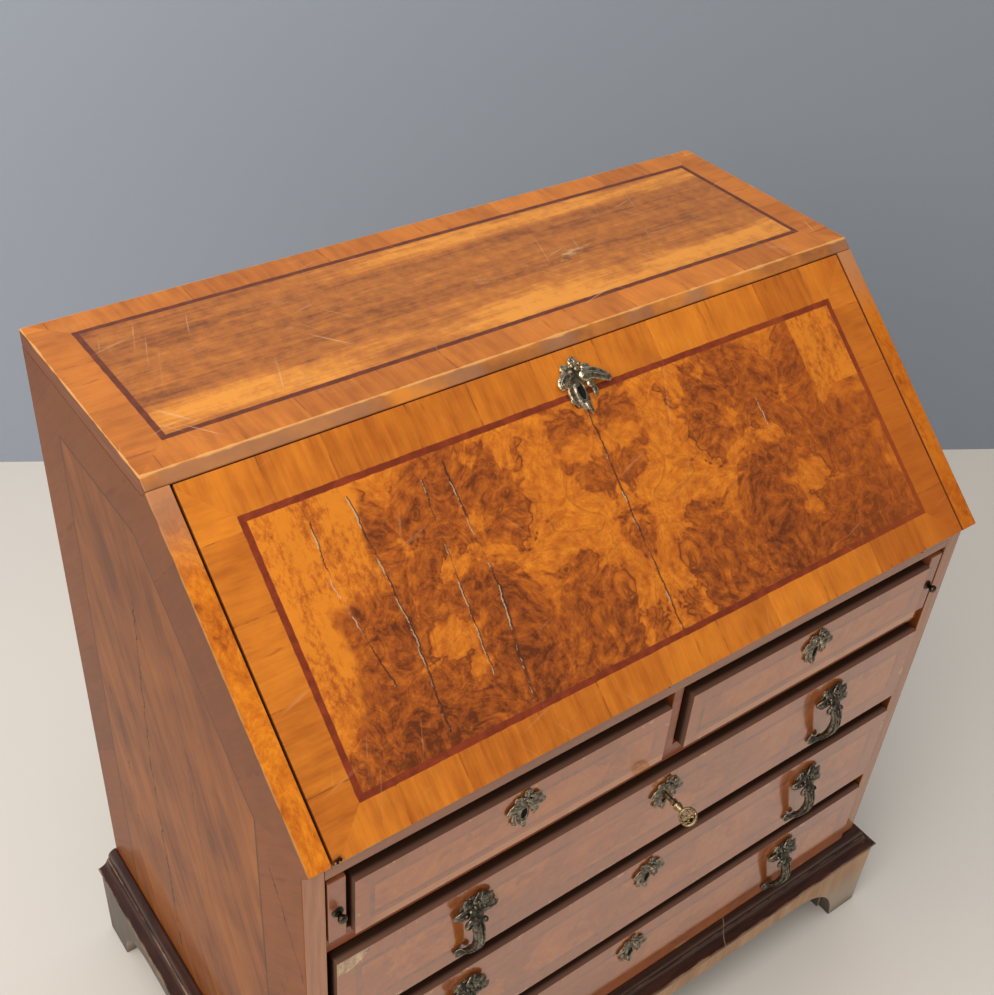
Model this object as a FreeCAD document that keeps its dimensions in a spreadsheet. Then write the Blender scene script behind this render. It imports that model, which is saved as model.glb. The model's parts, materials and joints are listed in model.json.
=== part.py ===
import FreeCAD, Part
import Sketcher
import math
import os
import re

# Slant-front bureau in millimetres: +X right, +Y back, +Z up, floor at z = 0.
# "front" is the plane of the carcass front; the fall's own directions are "along" (up the slope
# from the hinge line) and "out" (square to the slope, 0 on the inner face).

SIZES = {
    # carcass
    "carcass_width": 920,
    "carcass_depth": 561,
    "side_thickness": 24,
    "top_thickness": 20,
    "back_thickness": 12,
    "bottom_thickness": 20,
    "bed_thickness": 20,
    "slant_angle": 41,
    "slant_length": 383,
    "top_strip": 16,
    # base
    "plinth_height": 137,
    "plinth_projection": 27,
    "plinth_thickness": 20,
    "apron_height": 39,
    "foot_length": 157,
    "foot_toe": 55,
    "foot_block": 40,
    "moulding_height": 31,
    "moulding_projection": 30,
    "moulding_fillet": 4,
    "moulding_step_height": 17,
    "moulding_step_out": 15,
    "moulding_top_edge": 3,
    # rails and runners
    "rail_thickness": 20,
    "upper_rail_thickness": 24,
    "rail_width": 60,
    "rail_set_back": 6,
    "runner_width": 20,
    "small_runner_width": 56,
    "centre_runner_width": 80,
    "divider_thickness": 14,
    "divider_set_back": 3,
    # drawers
    "lower_front_height": 119.5,
    "middle_front_height": 130.5,
    "upper_front_height": 120.5,
    "small_front_height": 83,
    "front_thickness": 20,
    "drawer_proud": 5.5,
    "drawer_rise": 1,
    "drawer_gap": 9,
    "small_drawer_gap": 17.5,
    "drawer_side_gap": 7,
    "small_drawer_inner_gap": 9,
    "small_drawer_outer_gap": 6,
    "drawer_side_thickness": 10,
    "drawer_side_drop": 10,
    "drawer_bottom_thickness": 6,
    "drawer_bottom_rise": 6,
    "drawer_back_gap": 12,
    # lopers and their guides
    "loper_width": 20,
    "loper_gap": 2,
    "loper_top_gap": 0.4,
    "loper_facing": 12,
    "loper_facing_drop": 6,
    "loper_back_gap": 130,
    "guide_thickness": 12,
    "guide_set_back": 17,
    "loper_knob_rise": 44,
    "knob_radius": 9,
    "knob_neck_radius": 4,
    "knob_neck_length": 9,
    "knob_rose_radius": 8,
    "knob_rose_thickness": 2,
    # fall and its hinges
    "fall_thickness": 22,
    "fall_side_gap": 2.5,
    "fall_top_gap": 1.2,
    "fall_foot_gap": 0.4,
    "stop_height": 25,
    "stop_depth": 12,
    "stop_gap": 0.4,
    "stop_parting": 60,
    "hinge_length": 50,
    "hinge_leaf_width": 24,
    "hinge_leaf_thickness": 2,
    "hinge_inset": 3,
    "knuckle_radius": 4,
    "knuckle_clearance": 0.5,
    "knuckle_middle": 16,
    "knuckle_parting": 0.3,
    "pin_radius": 1.5,
    "pin_clearance": 0.05,
    # locks, escutcheons and key
    "escutcheon_width": 42,
    "escutcheon_height": 58,
    "escutcheon_thickness": 4,
    "escutcheon_drop": 33,
    "small_escutcheon_drop": 30,
    "fall_escutcheon_drop": 56,
    "keyhole_drop": 4,
    "keyhole_clearance": 0.3,
    "keyhole_slot": 3.4,
    "keyhole_slot_length": 11,
    "front_bore_radius": 5,
    "lock_width": 64,
    "lock_depth": 12,
    "lock_wall": 2,
    "lock_below": 14,
    "lock_top_drop": 4,
    "bolt_width": 22,
    "bolt_thickness": 6,
    "bolt_set_back": 2.5,
    "bolt_rise": 1,
    "bolt_clearance": 0.3,
    "bolt_travel": 16,
    "mortise_spare": 2,
    "key_radius": 3,
    "key_tail": 9,
    "key_reach": 36,
    "key_bow_radius": 13,
    "key_bow_wire": 3.2,
    "key_collar_radius": 5,
    "key_collar_length": 5,
    "key_bit_reach": 9.5,
    "key_bit_thickness": 2.4,
    "key_bit_length": 7,
    "key_bit_clearance": 1.5,
    # drawer pulls
    "pull_spread": 550,
    "pull_drop": 18,
    "pull_bow_radius": 26,
    "pull_bow_wire": 5,
    "pull_stand_off": 6,
    "pull_plate_radius": 22,
    "pull_plate_thickness": 8,
    "pull_plate_rise": 36,
    "pull_foot_radius": 6,
    # gallery behind the fall
    "gallery_clearance": 1.2,
    "gallery_board": 8,
    "inner_drawer_height": 100,
    "inner_drawer_gap": 1,
    "inner_drawer_top_gap": 2,
    "inner_front_thickness": 14,
    "inner_board": 6,
    "inner_back_gap": 10,
    "niche_width": 300,
    "pigeonhole_set_back": 35,
    "inner_knob_radius": 7,
    "inner_knob_neck": 8,
}

DERIVED = {
    "half": "carcass_width / 2",
    "inner": "half - side_thickness",
    "front_reach": "drawer_proud + key_reach + key_bow_radius + key_bow_wire",
    "front": "-(carcass_depth - front_reach) / 2",
    "back": "front + carcass_depth",
    "inner_back": "back - back_thickness",
    # heights, stacked from the floor
    "bottom_top": "plinth_height + moulding_height + drawer_rise",
    "lower_rail_base": "bottom_top + drawer_rise + lower_front_height + drawer_gap",
    "lower_rail_top": "lower_rail_base + rail_thickness",
    "middle_rail_base": "lower_rail_top + drawer_rise + middle_front_height + drawer_gap",
    "middle_rail_top": "middle_rail_base + rail_thickness",
    "upper_rail_base": "middle_rail_top + drawer_rise + upper_front_height + drawer_gap",
    "upper_rail_top": "upper_rail_base + upper_rail_thickness",
    "bed_base": "upper_rail_top + drawer_rise + small_front_height + small_drawer_gap",
    "bed_top": "bed_base + bed_thickness",
    "nose_z": "bed_top + fall_thickness * cos(slant_angle)",
    "top_z": "nose_z + slant_length * sin(slant_angle)",
    "case_top": "top_z - top_thickness",
    # slope
    "nose_y": "front - fall_thickness * sin(slant_angle)",
    "brow_y": "nose_y + slant_length * cos(slant_angle)",
    "fall_length": "slant_length - top_strip - fall_top_gap",
    "fall_half": "inner - fall_side_gap",
    "stop_head": "(case_top - bed_top + stop_gap * cos(slant_angle)) / sin(slant_angle)",
    "stop_rear": "front + stop_head * cos(slant_angle) + stop_gap * sin(slant_angle) + stop_depth",
    # drawers across the front
    "drawer_face": "front - drawer_proud",
    "drawer_rear": "drawer_face + front_thickness",
    "drawer_end": "inner_back - drawer_back_gap",
    "long_half": "inner - drawer_side_gap",
    "loper_outer": "inner - loper_gap",
    "loper_inner": "loper_outer - loper_width",
    "small_outer": "loper_inner - small_drawer_outer_gap",
    "small_inner": "divider_thickness / 2 + small_drawer_inner_gap",
    "small_middle": "(small_outer + small_inner) / 2",
    "guide_outer": "loper_inner - loper_gap",
    "guide_inner": "guide_outer - guide_thickness",
    # lopers
    "loper_top": "bed_top - fall_thickness - loper_top_gap",
    "loper_end": "inner_back - loper_back_gap",
    # base
    "plinth_half": "half + plinth_projection",
    "plinth_front": "front - plinth_projection",
    "apron_base": "plinth_height - apron_height",
    # gallery
    "gallery_front": "stop_rear + gallery_clearance",
    "shelf_base": "bed_top + inner_drawer_height + inner_drawer_gap + inner_drawer_top_gap",
    "shelf_top": "shelf_base + gallery_board",
    "niche_half": "niche_width / 2",
}

ROW_BASE = {
    "lower": "bottom_top",
    "middle": "lower_rail_top",
    "upper": "middle_rail_top",
    "small": "upper_rail_top",
}
SIDES = {"left": -1, "right": 1}

doc = FreeCAD.newDocument("escritoire")
sheet = doc.addObject("Spreadsheet::Sheet", "dims")
nodes = []


def fill_sheet():
    for row, (name, value) in enumerate(SIZES.items(), start=1):
        sheet.set(f"A{row}", name)
        sheet.set(f"B{row}", str(value))
        sheet.setAlias(f"B{row}", name)
    doc.recompute()


def formula(text):
    """A formula of named sizes, written as an expression on the sheet."""

    def word(match):
        name = match.group(0)
        if name in DERIVED:
            return f"({formula(DERIVED[name])})"
        if name in SIZES:
            return f"dims.{name}"
        return name

    return re.sub(r"[a-z][a-z_]*", word, text)


def measure(text):
    return float(sheet.evalExpression(formula(text)))


def bind(thing, **properties):
    for name, text in properties.items():
        thing.setExpression(name, formula(text))


def place(thing, x="0", y="0", z="0", axis=None, angle="0"):
    if axis:
        turn = FreeCAD.Rotation(FreeCAD.Vector(*axis), measure(angle))
        thing.Placement = FreeCAD.Placement(FreeCAD.Vector(), turn)
        thing.setExpression("Placement.Rotation.Angle", formula(angle))
    for letter, text in (("x", x), ("y", y), ("z", z)):
        thing.setExpression(f"Placement.Base.{letter}", formula(text))
    return thing


def node(thing, label):
    thing.Label = label
    nodes.append(thing)
    return thing


def box(x, y, z):
    """A board between a low and a high formula on each axis."""
    board = doc.addObject("Part::Box", "board")
    bind(
        board,
        Length=f"({x[1]}) - ({x[0]})",
        Width=f"({y[1]}) - ({y[0]})",
        Height=f"({z[1]}) - ({z[0]})",
    )
    return place(board, x[0], y[0], z[0])


def on_slope(along, out):
    """The y and z formulas of a point in the fall's own directions."""
    y = f"front + ({along}) * cos(slant_angle) - ({out}) * sin(slant_angle)"
    z = f"bed_top + ({along}) * sin(slant_angle) + ({out}) * cos(slant_angle)"
    return y, z


def sloped_box(x, along, out):
    board = doc.addObject("Part::Box", "sloped_board")
    bind(
        board,
        Length=f"({x[1]}) - ({x[0]})",
        Width=f"({along[1]}) - ({along[0]})",
        Height=f"({out[1]}) - ({out[0]})",
    )
    y, z = on_slope(along[0], out[0])
    return place(board, x[0], y, z, (1, 0, 0), "slant_angle")


def rod(radius, length, x, y, z, axis=None, angle="0"):
    """A cylinder standing on a point, along +Z unless it is turned."""
    cylinder = doc.addObject("Part::Cylinder", "rod")
    bind(cylinder, Radius=radius, Height=length)
    return place(cylinder, x, y, z, axis, angle)


def rod_back(radius, x, y, z):
    """A cylinder along +Y between a low and a high formula."""
    return rod(radius, f"({y[1]}) - ({y[0]})", x, y[0], z, (1, 0, 0), "-90")


def rod_across(radius, x, y, z):
    """A cylinder along +X between a low and a high formula."""
    return rod(radius, f"({x[1]}) - ({x[0]})", x[0], y, z, (0, 1, 0), "90")


def ball(radius, x, y, z):
    sphere = doc.addObject("Part::Sphere", "ball")
    bind(sphere, Radius=radius)
    return place(sphere, x, y, z)


def fuse(shapes):
    union = doc.addObject("Part::MultiFuse", "fused")
    union.Shapes = shapes
    union.Refine = True
    return union


def cut(base, tools):
    difference = doc.addObject("Part::Cut", "shaped")
    difference.Base = base
    difference.Tool = tools[0] if len(tools) == 1 else fuse(tools)
    difference.Refine = True
    return difference


def group(shapes):
    together = doc.addObject("Part::Compound", "group")
    together.Links = shapes
    return together


def sided(side, low, high):
    """A pair of x formulas on the right, or its mirror on the left."""
    if SIDES[side] > 0:
        return low, high
    return f"-({high})", f"-({low})"


def arc_between(start, end, radius, turn):
    """A short arc and which of its ends is the start; turn 1 runs anticlockwise."""
    chord = end - start
    rise = math.sqrt(max(radius**2 - chord.Length**2 / 4, 0))
    left = FreeCAD.Vector(-chord.y, chord.x, 0).normalize()
    centre = (start + end) / 2 + left * (turn * rise)
    circle = Part.Circle(centre, FreeCAD.Vector(0, 0, 1), radius)
    first, last = (start, end) if turn > 0 else (end, start)
    angles = [math.atan2(point.y - centre.y, point.x - centre.x) for point in (first, last)]
    return Part.ArcOfCircle(circle, *angles), (1, 2) if turn > 0 else (2, 1)


def prism(plane, outline, low, high):
    """A body padded between two formulas from an outline on the YZ or XZ plane.

    An outline point is a pair of formulas; with a radius formula and a turn of 1 or -1 as well,
    an arc instead of a line runs from it to the next point.
    """
    body = doc.addObject("PartDesign::Body", "body")
    sketch = body.newObject("Sketcher::SketchObject", "outline")
    support = next(f for f in body.Origin.OriginFeatures if f.Role == f"{plane}_Plane")
    sketch.AttachmentSupport = [(support, "")]
    sketch.MapMode = "FlatFace"
    corners = [FreeCAD.Vector(measure(point[0]), measure(point[1]), 0) for point in outline]
    ends = []
    for index, point in enumerate(outline):
        start, end = corners[index], corners[(index + 1) % len(corners)]
        if len(point) == 2:
            sketch.addGeometry(Part.LineSegment(start, end))
            ends.append((1, 2))
        else:
            arc, order = arc_between(start, end, measure(point[2]), point[3])
            sketch.addGeometry(arc)
            ends.append(order)
    for index in range(len(outline)):
        following = (index + 1) % len(outline)
        joined = Sketcher.Constraint("Coincident", index, ends[index][1], following, ends[following][0])
        sketch.addConstraint(joined)
    for index, point in enumerate(outline):
        corner = corners[index]
        for kind, value, text in (("DistanceX", corner.x, point[0]), ("DistanceY", corner.y, point[1])):
            number = sketch.addConstraint(Sketcher.Constraint(kind, -1, 1, index, ends[index][0], value))
            sketch.setExpression(f"Constraints[{number}]", formula(text))
        if len(point) > 2:
            number = sketch.addConstraint(Sketcher.Constraint("Radius", index, measure(point[2])))
            sketch.setExpression(f"Constraints[{number}]", formula(point[2]))
    pad = body.newObject("PartDesign::Pad", "pad")
    pad.Profile = sketch
    bind(pad, Length=f"({high}) - ({low})")
    if plane == "YZ":
        return place(body, x=low)
    return place(body, y=high)


def make_carcass():
    nose_foot = on_slope("0", "0")
    strip_foot = on_slope("slant_length - top_strip", "fall_thickness")
    lip_depth = "(top_thickness - top_strip * sin(slant_angle)) / cos(slant_angle)"
    lip = on_slope("slant_length - top_strip", f"fall_thickness - {lip_depth}")
    side_outline = [
        ("front", "plinth_height"),
        ("back", "plinth_height"),
        ("back", "case_top"),
        lip,
        strip_foot,
        ("nose_y", "nose_z"),
        nose_foot,
    ]
    for side in SIDES:
        node(prism("YZ", side_outline, *sided(side, "inner", "half")), f"{side}_side")

    top_outline = [("brow_y", "top_z"), strip_foot, lip, ("back", "case_top"), ("back", "top_z")]
    node(prism("YZ", top_outline, "-half", "half"), "top_board")

    bottom_base = "bottom_top - bottom_thickness"
    across = ("-inner", "inner")
    node(box(across, ("front", "inner_back"), (bottom_base, "bottom_top")), "bottom_board")

    third = f"(case_top - ({bottom_base})) / 3"
    boards = []
    for count in range(3):
        low = f"{bottom_base} + {count} * {third}"
        high = f"{bottom_base} + {count + 1} * {third}"
        boards.append(box(across, ("inner_back", "back"), (low, high)))
    node(group(boards), "back_boards")


def front_top(row):
    return f"{ROW_BASE[row]} + drawer_rise + {row}_front_height"


def escutcheon_z(row):
    drop = "small_escutcheon_drop" if row == "small" else "escutcheon_drop"
    return f"{front_top(row)} - {drop}"


def key_z(row):
    return f"{escutcheon_z(row)} - keyhole_drop"


def bolt_space(row, middle, slack):
    """The bolt's x, y and z formulas in its lock, widened across by a slack."""
    x = (f"{middle} - bolt_width / 2 - {slack}", f"{middle} + bolt_width / 2 + {slack}")
    rear = "drawer_rear + bolt_set_back"
    y = (f"{rear} - {slack}", f"{rear} + bolt_thickness + {slack}")
    z = (
        f"{key_z(row)} + key_bit_reach + key_bit_clearance",
        f"{front_top(row)} - lock_top_drop + bolt_rise",
    )
    return x, y, z


def make_rails():
    across = ("-inner", "inner")
    depth = ("front + rail_set_back", "front + rail_set_back + rail_width")
    for name in ("lower", "middle"):
        node(box(across, depth, (f"{name}_rail_base", f"{name}_rail_top")), f"{name}_rail")
    rail = box(across, depth, ("upper_rail_base", "upper_rail_top"))
    x, y, z = bolt_space("upper", "0", "bolt_clearance")
    mortise = box(x, y, ("upper_rail_base", f"{z[1]} + bolt_travel + mortise_spare"))
    node(cut(rail, [mortise]), "upper_rail")

    runner_y = (depth[1], "inner_back")
    small_z = ("upper_rail_base", "upper_rail_top")
    runners = []
    for side in SIDES:
        for name in ("lower", "middle"):
            runner_z = (f"{name}_rail_base", f"{name}_rail_top")
            runners.append(box(sided(side, "inner - runner_width", "inner"), runner_y, runner_z))
        runners.append(box(sided(side, "inner - small_runner_width", "inner"), runner_y, small_z))
    runners.append(box(("-centre_runner_width / 2", "centre_runner_width / 2"), runner_y, small_z))
    node(group(runners), "drawer_runners")

    divider_x = ("-divider_thickness / 2", "divider_thickness / 2")
    small_row = ("upper_rail_top", "bed_base")
    node(box(divider_x, ("front + divider_set_back", "inner_back"), small_row), "drawer_divider")

    guide_y = ("front + guide_set_back", "inner_back")
    guides = [box(sided(side, "guide_inner", "guide_outer"), guide_y, small_row) for side in SIDES]
    node(group(guides), "loper_guides")


def moulding_outline(face, out):
    """The base moulding's section on a face formula: fillet, cove, step and ovolo."""

    def point(reach, height):
        return f"{face} + {out} * ({reach})", f"plinth_height + {height}"

    cove_rise = "moulding_step_height - moulding_fillet"
    cove_chord = f"sqrt((moulding_projection - moulding_step_out)^2 + ({cove_rise})^2)"
    ovolo_out = "moulding_step_out - moulding_fillet / 2"
    ovolo_rise = "moulding_height - moulding_step_height"
    ovolo_chord = f"sqrt(({ovolo_out} - moulding_top_edge)^2 + ({ovolo_rise})^2)"
    return [
        point("0", "0"),
        point("moulding_projection", "0"),
        (*point("moulding_projection", "moulding_fillet"), f"0.75 * {cove_chord}", -out),
        point("moulding_step_out", "moulding_step_height"),
        (*point(ovolo_out, "moulding_step_height"), f"0.75 * {ovolo_chord}", out),
        point("moulding_top_edge", "moulding_height"),
        point("0", "moulding_height"),
    ]


def mitre(corner_x, angle):
    """A block that takes off all beyond a 45 degree line through a front corner."""
    size = "moulding_projection * 2"
    block = box(("0", size), ("0", size), ("0", "moulding_height"))
    return place(block, corner_x, "front", "plinth_height", (0, 0, 1), angle)


def make_mouldings():
    reach = "half + moulding_projection"
    front = prism("YZ", moulding_outline("front", -1), f"-({reach})", reach)
    node(cut(front, [mitre("-half", "135"), mitre("half", "-45")]), "front_moulding")
    for side, sign in SIDES.items():
        face = f"{sign} * half"
        length = prism("XZ", moulding_outline(face, sign), "front - moulding_projection", "back")
        node(cut(length, [mitre(face, "225")]), f"{side}_moulding")


def bracket(corner, inward, length, toe):
    """A bracket foot's outline from its outer corner, hollowed by an arc below the apron."""
    rise = "apron_base"
    chord = f"sqrt(({length} - ({toe}))^2 + ({rise})^2)"
    end = f"{corner} + {inward} * ({length})"
    return [
        (corner, "0"),
        (corner, "plinth_height"),
        (end, "plinth_height"),
        (end, rise, f"0.72 * {chord}", inward),
        (f"{corner} + {inward} * ({toe})", "0"),
    ]


def make_base():
    band = ("apron_base", "plinth_height")
    front_y = ("plinth_front", "plinth_front + plinth_thickness")
    apron_half = "plinth_half - foot_length"
    node(box((f"-({apron_half})", apron_half), front_y, band), "front_apron")

    side_y = ("plinth_front + foot_length", "back - foot_length")
    side_x = {side: sided(side, "plinth_half - plinth_thickness", "plinth_half") for side in SIDES}
    node(group([box(side_x[side], side_y, band) for side in SIDES]), "side_aprons")

    full = ("0", "plinth_height")
    butt = "foot_length - plinth_thickness"
    butt_toe = "foot_toe - plinth_thickness"
    block_outer = "plinth_half - plinth_thickness"
    rear_feet = []
    for side, sign in SIDES.items():
        block_x = sided(side, f"{block_outer} - foot_block", block_outer)
        face = bracket(f"{sign} * plinth_half", -sign, "foot_length", "foot_toe")
        flank = bracket(front_y[1], 1, butt, butt_toe)
        block_y = (front_y[1], f"{front_y[1]} + foot_block")
        pieces = [
            prism("XZ", face, *front_y),
            prism("YZ", flank, *side_x[side]),
            box(block_x, block_y, full),
        ]
        node(group(pieces), f"front_{side}_foot")

        rear_flank = bracket("back", -1, "foot_length", "foot_toe")
        rear_face = "back - plinth_thickness"
        rear_feet += [
            prism("YZ", rear_flank, *side_x[side]),
            box(sided(side, f"{block_outer} - foot_toe", block_outer), (rear_face, "back"), full),
            box(block_x, (f"{rear_face} - foot_block", rear_face), full),
        ]
    node(group(rear_feet), "back_feet")


def make_gallery():
    across = ("-inner", "inner")
    depth = ("gallery_front", "inner_back")
    node(box(across, depth, ("shelf_base", "shelf_top")), "gallery_shelf")
    uprights = []
    for side in SIDES:
        below_x = sided(side, "niche_half", "niche_half + gallery_board")
        uprights.append(box(below_x, depth, ("bed_top", "shelf_base")))
    above_y = ("gallery_front + pigeonhole_set_back", "inner_back")
    for step in (-1, 0, 1):
        middle = f"{step} * inner / 2"
        above_x = (f"{middle} - gallery_board / 2", f"{middle} + gallery_board / 2")
        uprights.append(box(above_x, above_y, ("shelf_top", "case_top")))
    node(group(uprights), "gallery_uprights")


def make_inner_drawer(side):
    low = "niche_half + gallery_board + inner_drawer_gap"
    high = "inner - inner_drawer_gap"
    x = sided(side, low, high)
    base = "bed_top + inner_drawer_gap"
    top = f"{base} + inner_drawer_height"
    rear = "gallery_front + inner_front_thickness"
    end = "inner_back - inner_back_gap"
    pieces = drawer_boards(x, rear, end, "bed_top", f"{top} - inner_board", "inner_board")
    pieces.append(box(x, ("gallery_front", rear), (base, top)))
    middle = f"{SIDES[side]} * ({low} + {high}) / 2"
    height = f"{base} + inner_drawer_height / 2"
    stem_end = "gallery_front - inner_knob_neck"
    stem = rod_back("inner_knob_radius / 2", middle, (stem_end, "gallery_front"), height)
    head = ball("inner_knob_radius", middle, stem_end, height)
    pieces.append(fuse([stem, head]))
    node(group(pieces), f"{side}_inner_drawer")


def drawer_boards(x, rear, end, base, top, thickness):
    """Two sides, a bottom let in between them and a back standing on the bottom."""
    inside = (f"{x[0]} + {thickness}", f"{x[1]} - {thickness}")
    floor = f"{base} + drawer_bottom_rise"
    floor_top = f"{floor} + drawer_bottom_thickness"
    return [
        box((x[0], inside[0]), (rear, end), (base, top)),
        box((inside[1], x[1]), (rear, end), (base, top)),
        box(inside, (rear, end), (floor, floor_top)),
        box(inside, (f"{end} - {thickness}", end), (floor_top, top)),
    ]


def make_drawer(name, row, front_x, box_x, middle):
    """A drawer's front, box, lock and escutcheon."""
    base = ROW_BASE[row]
    top = front_top(row)
    front = box(front_x, ("drawer_face", "drawer_rear"), (f"{base} + drawer_rise", top))
    bore = rod_back("front_bore_radius", middle, ("drawer_face", "drawer_rear"), key_z(row))
    node(cut(front, [bore]), f"{name}_front")

    boards = drawer_boards(
        box_x, "drawer_rear", "drawer_end", base, f"{top} - drawer_side_drop", "drawer_side_thickness"
    )
    node(group(boards), f"{name}_box")
    case, bolt = make_lock(row, middle)
    if row == "upper":
        node(case, f"{name}_lock")
        node(bolt, "lock_bolt")
    else:
        node(group([case, bolt]), f"{name}_lock")
    plate = place(escutcheon(), middle, "drawer_face", escutcheon_z(row), (1, 0, 0), "90")
    node(plate, f"{name}_escutcheon")


def make_lock(row, middle):
    """A lock case open towards the drawer front, and its bolt."""
    foot = f"{key_z(row)} - lock_below"
    head = f"{front_top(row)} - lock_top_drop"
    half = "lock_width / 2"
    case = box(
        (f"{middle} - {half}", f"{middle} + {half}"),
        ("drawer_rear", "drawer_rear + lock_depth"),
        (foot, head),
    )
    cavity = box(
        (f"{middle} - {half} + lock_wall", f"{middle} + {half} - lock_wall"),
        ("drawer_rear", "drawer_rear + lock_depth - lock_wall"),
        (f"{foot} + lock_wall", f"{head} - lock_wall"),
    )
    slot_x, slot_y, _ = bolt_space(row, middle, "bolt_clearance")
    slot = box(slot_x, slot_y, (f"{head} - lock_wall", head))
    bolt = box(*bolt_space(row, middle, "0"))
    return cut(case, [cavity, slot]), bolt


def escutcheon():
    """A lobed plate with a keyhole, lying on z = 0 with its head towards +Y."""
    thick = "escutcheon_thickness"
    lobe = "escutcheon_width / 4"
    lobe_reach = f"escutcheon_height / 2 - {lobe}"
    third = "escutcheon_width / 3"
    waist = "escutcheon_height / 3"
    plate = [
        box((f"-{third}", third), (f"-{waist}", waist), ("0", thick)),
        rod(lobe, thick, lobe, lobe_reach, "0"),
        rod(lobe, thick, f"-{lobe}", "-escutcheon_height / 8", "0"),
        rod(lobe, thick, "0", f"-({lobe_reach})", "0"),
    ]
    slot_half = "keyhole_slot / 2"
    slot_foot = "-keyhole_drop - keyhole_slot_length"
    keyhole = [
        rod("key_radius + keyhole_clearance", thick, "0", "-keyhole_drop", "0"),
        box((f"-{slot_half}", slot_half), (slot_foot, "-keyhole_drop"), ("0", thick)),
    ]
    return cut(fuse(plate), keyhole)


def make_pulls(row):
    pulls = []
    height = f"{ROW_BASE[row]} + drawer_rise + {row}_front_height / 2 - pull_drop"
    for sign in SIDES.values():
        x = f"{sign} * pull_spread / 2"
        bow = doc.addObject("Part::Torus", "bow")
        bow.Angle3 = 180
        bind(bow, Radius1="pull_bow_radius", Radius2="pull_bow_wire")
        face_out = FreeCAD.Rotation(FreeCAD.Vector(0, 1, 0), 90)
        half_turn = FreeCAD.Rotation(FreeCAD.Vector(0, 0, 1), 180)
        bow.Placement = FreeCAD.Placement(FreeCAD.Vector(), face_out.multiply(half_turn))
        place(bow, x, "drawer_face - pull_stand_off", height)
        plate_y = ("drawer_face - pull_plate_thickness", "drawer_face")
        plate = rod_back("pull_plate_radius", x, plate_y, f"{height} + pull_plate_rise")
        foot_y = ("drawer_face - pull_stand_off - pull_bow_wire / 2", "drawer_face")
        foot = rod_back("pull_foot_radius", x, foot_y, f"{height} - pull_bow_radius")
        pulls.append(fuse([bow, plate, foot]))
    node(group(pulls), f"{row}_drawer_pulls")


def make_key():
    height = key_z("upper")
    bow_y = "drawer_face - key_reach"
    stem_end = f"{bow_y} + key_bow_radius"
    tail = "drawer_rear + key_tail"
    bow = doc.addObject("Part::Torus", "bow")
    bind(bow, Radius1="key_bow_radius", Radius2="key_bow_wire")
    place(bow, "0", bow_y, height, (0, 1, 0), "90")
    bit_half = "key_bit_thickness / 2"
    pieces = [
        bow,
        rod_back("key_radius", "0", (stem_end, tail), height),
        rod_back("key_collar_radius", "0", (stem_end, f"{stem_end} + key_collar_length"), height),
        box(
            (f"-{bit_half}", bit_half),
            (f"{tail} - key_bit_length", tail),
            (f"{height} - key_bit_reach", height),
        ),
    ]
    node(fuse(pieces), "drawer_key")


def make_loper(side):
    x = sided(side, "loper_inner", "loper_outer")
    bearer = box(x, ("front", "loper_end"), ("upper_rail_top", "loper_top"))
    step = box(x, ("front", "front + loper_facing"), ("loper_top - loper_facing_drop", "loper_top"))
    node(cut(bearer, [step]), f"{side}_loper")

    middle = f"{SIDES[side]} * (loper_inner + loper_outer) / 2"
    height = "upper_rail_top + loper_knob_rise"
    knob = [
        rod_back("knob_rose_radius", middle, ("front - knob_rose_thickness", "front"), height),
        rod_back("knob_neck_radius", middle, ("front - knob_neck_length", "front"), height),
        ball("knob_radius", middle, "front - knob_neck_length - knob_radius / 2", height),
    ]
    node(fuse(knob), f"{side}_loper_knob")


def hinge_places():
    outer = "fall_half - hinge_inset - hinge_length / 2"
    return [f"-({outer})", "0", outer]


def knuckle_gap(middle):
    """Room round a hinge's knuckles at the meeting of bed and fall."""
    reach = "hinge_length / 2 + knuckle_clearance"
    x = (f"{middle} - ({reach})", f"{middle} + {reach}")
    return rod_across("knuckle_radius + knuckle_clearance", x, "front", "bed_top")


def make_bed():
    bed = box(("-inner", "inner"), ("front", "inner_back"), ("bed_base", "bed_top"))
    recesses = []
    for middle in hinge_places():
        x = (f"{middle} - hinge_length / 2", f"{middle} + hinge_length / 2")
        leaf_y = ("front", "front + hinge_leaf_width")
        recesses.append(box(x, leaf_y, ("bed_top - hinge_leaf_thickness", "bed_top")))
        recesses.append(knuckle_gap(middle))
    node(cut(bed, recesses), "writing_bed")


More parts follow.
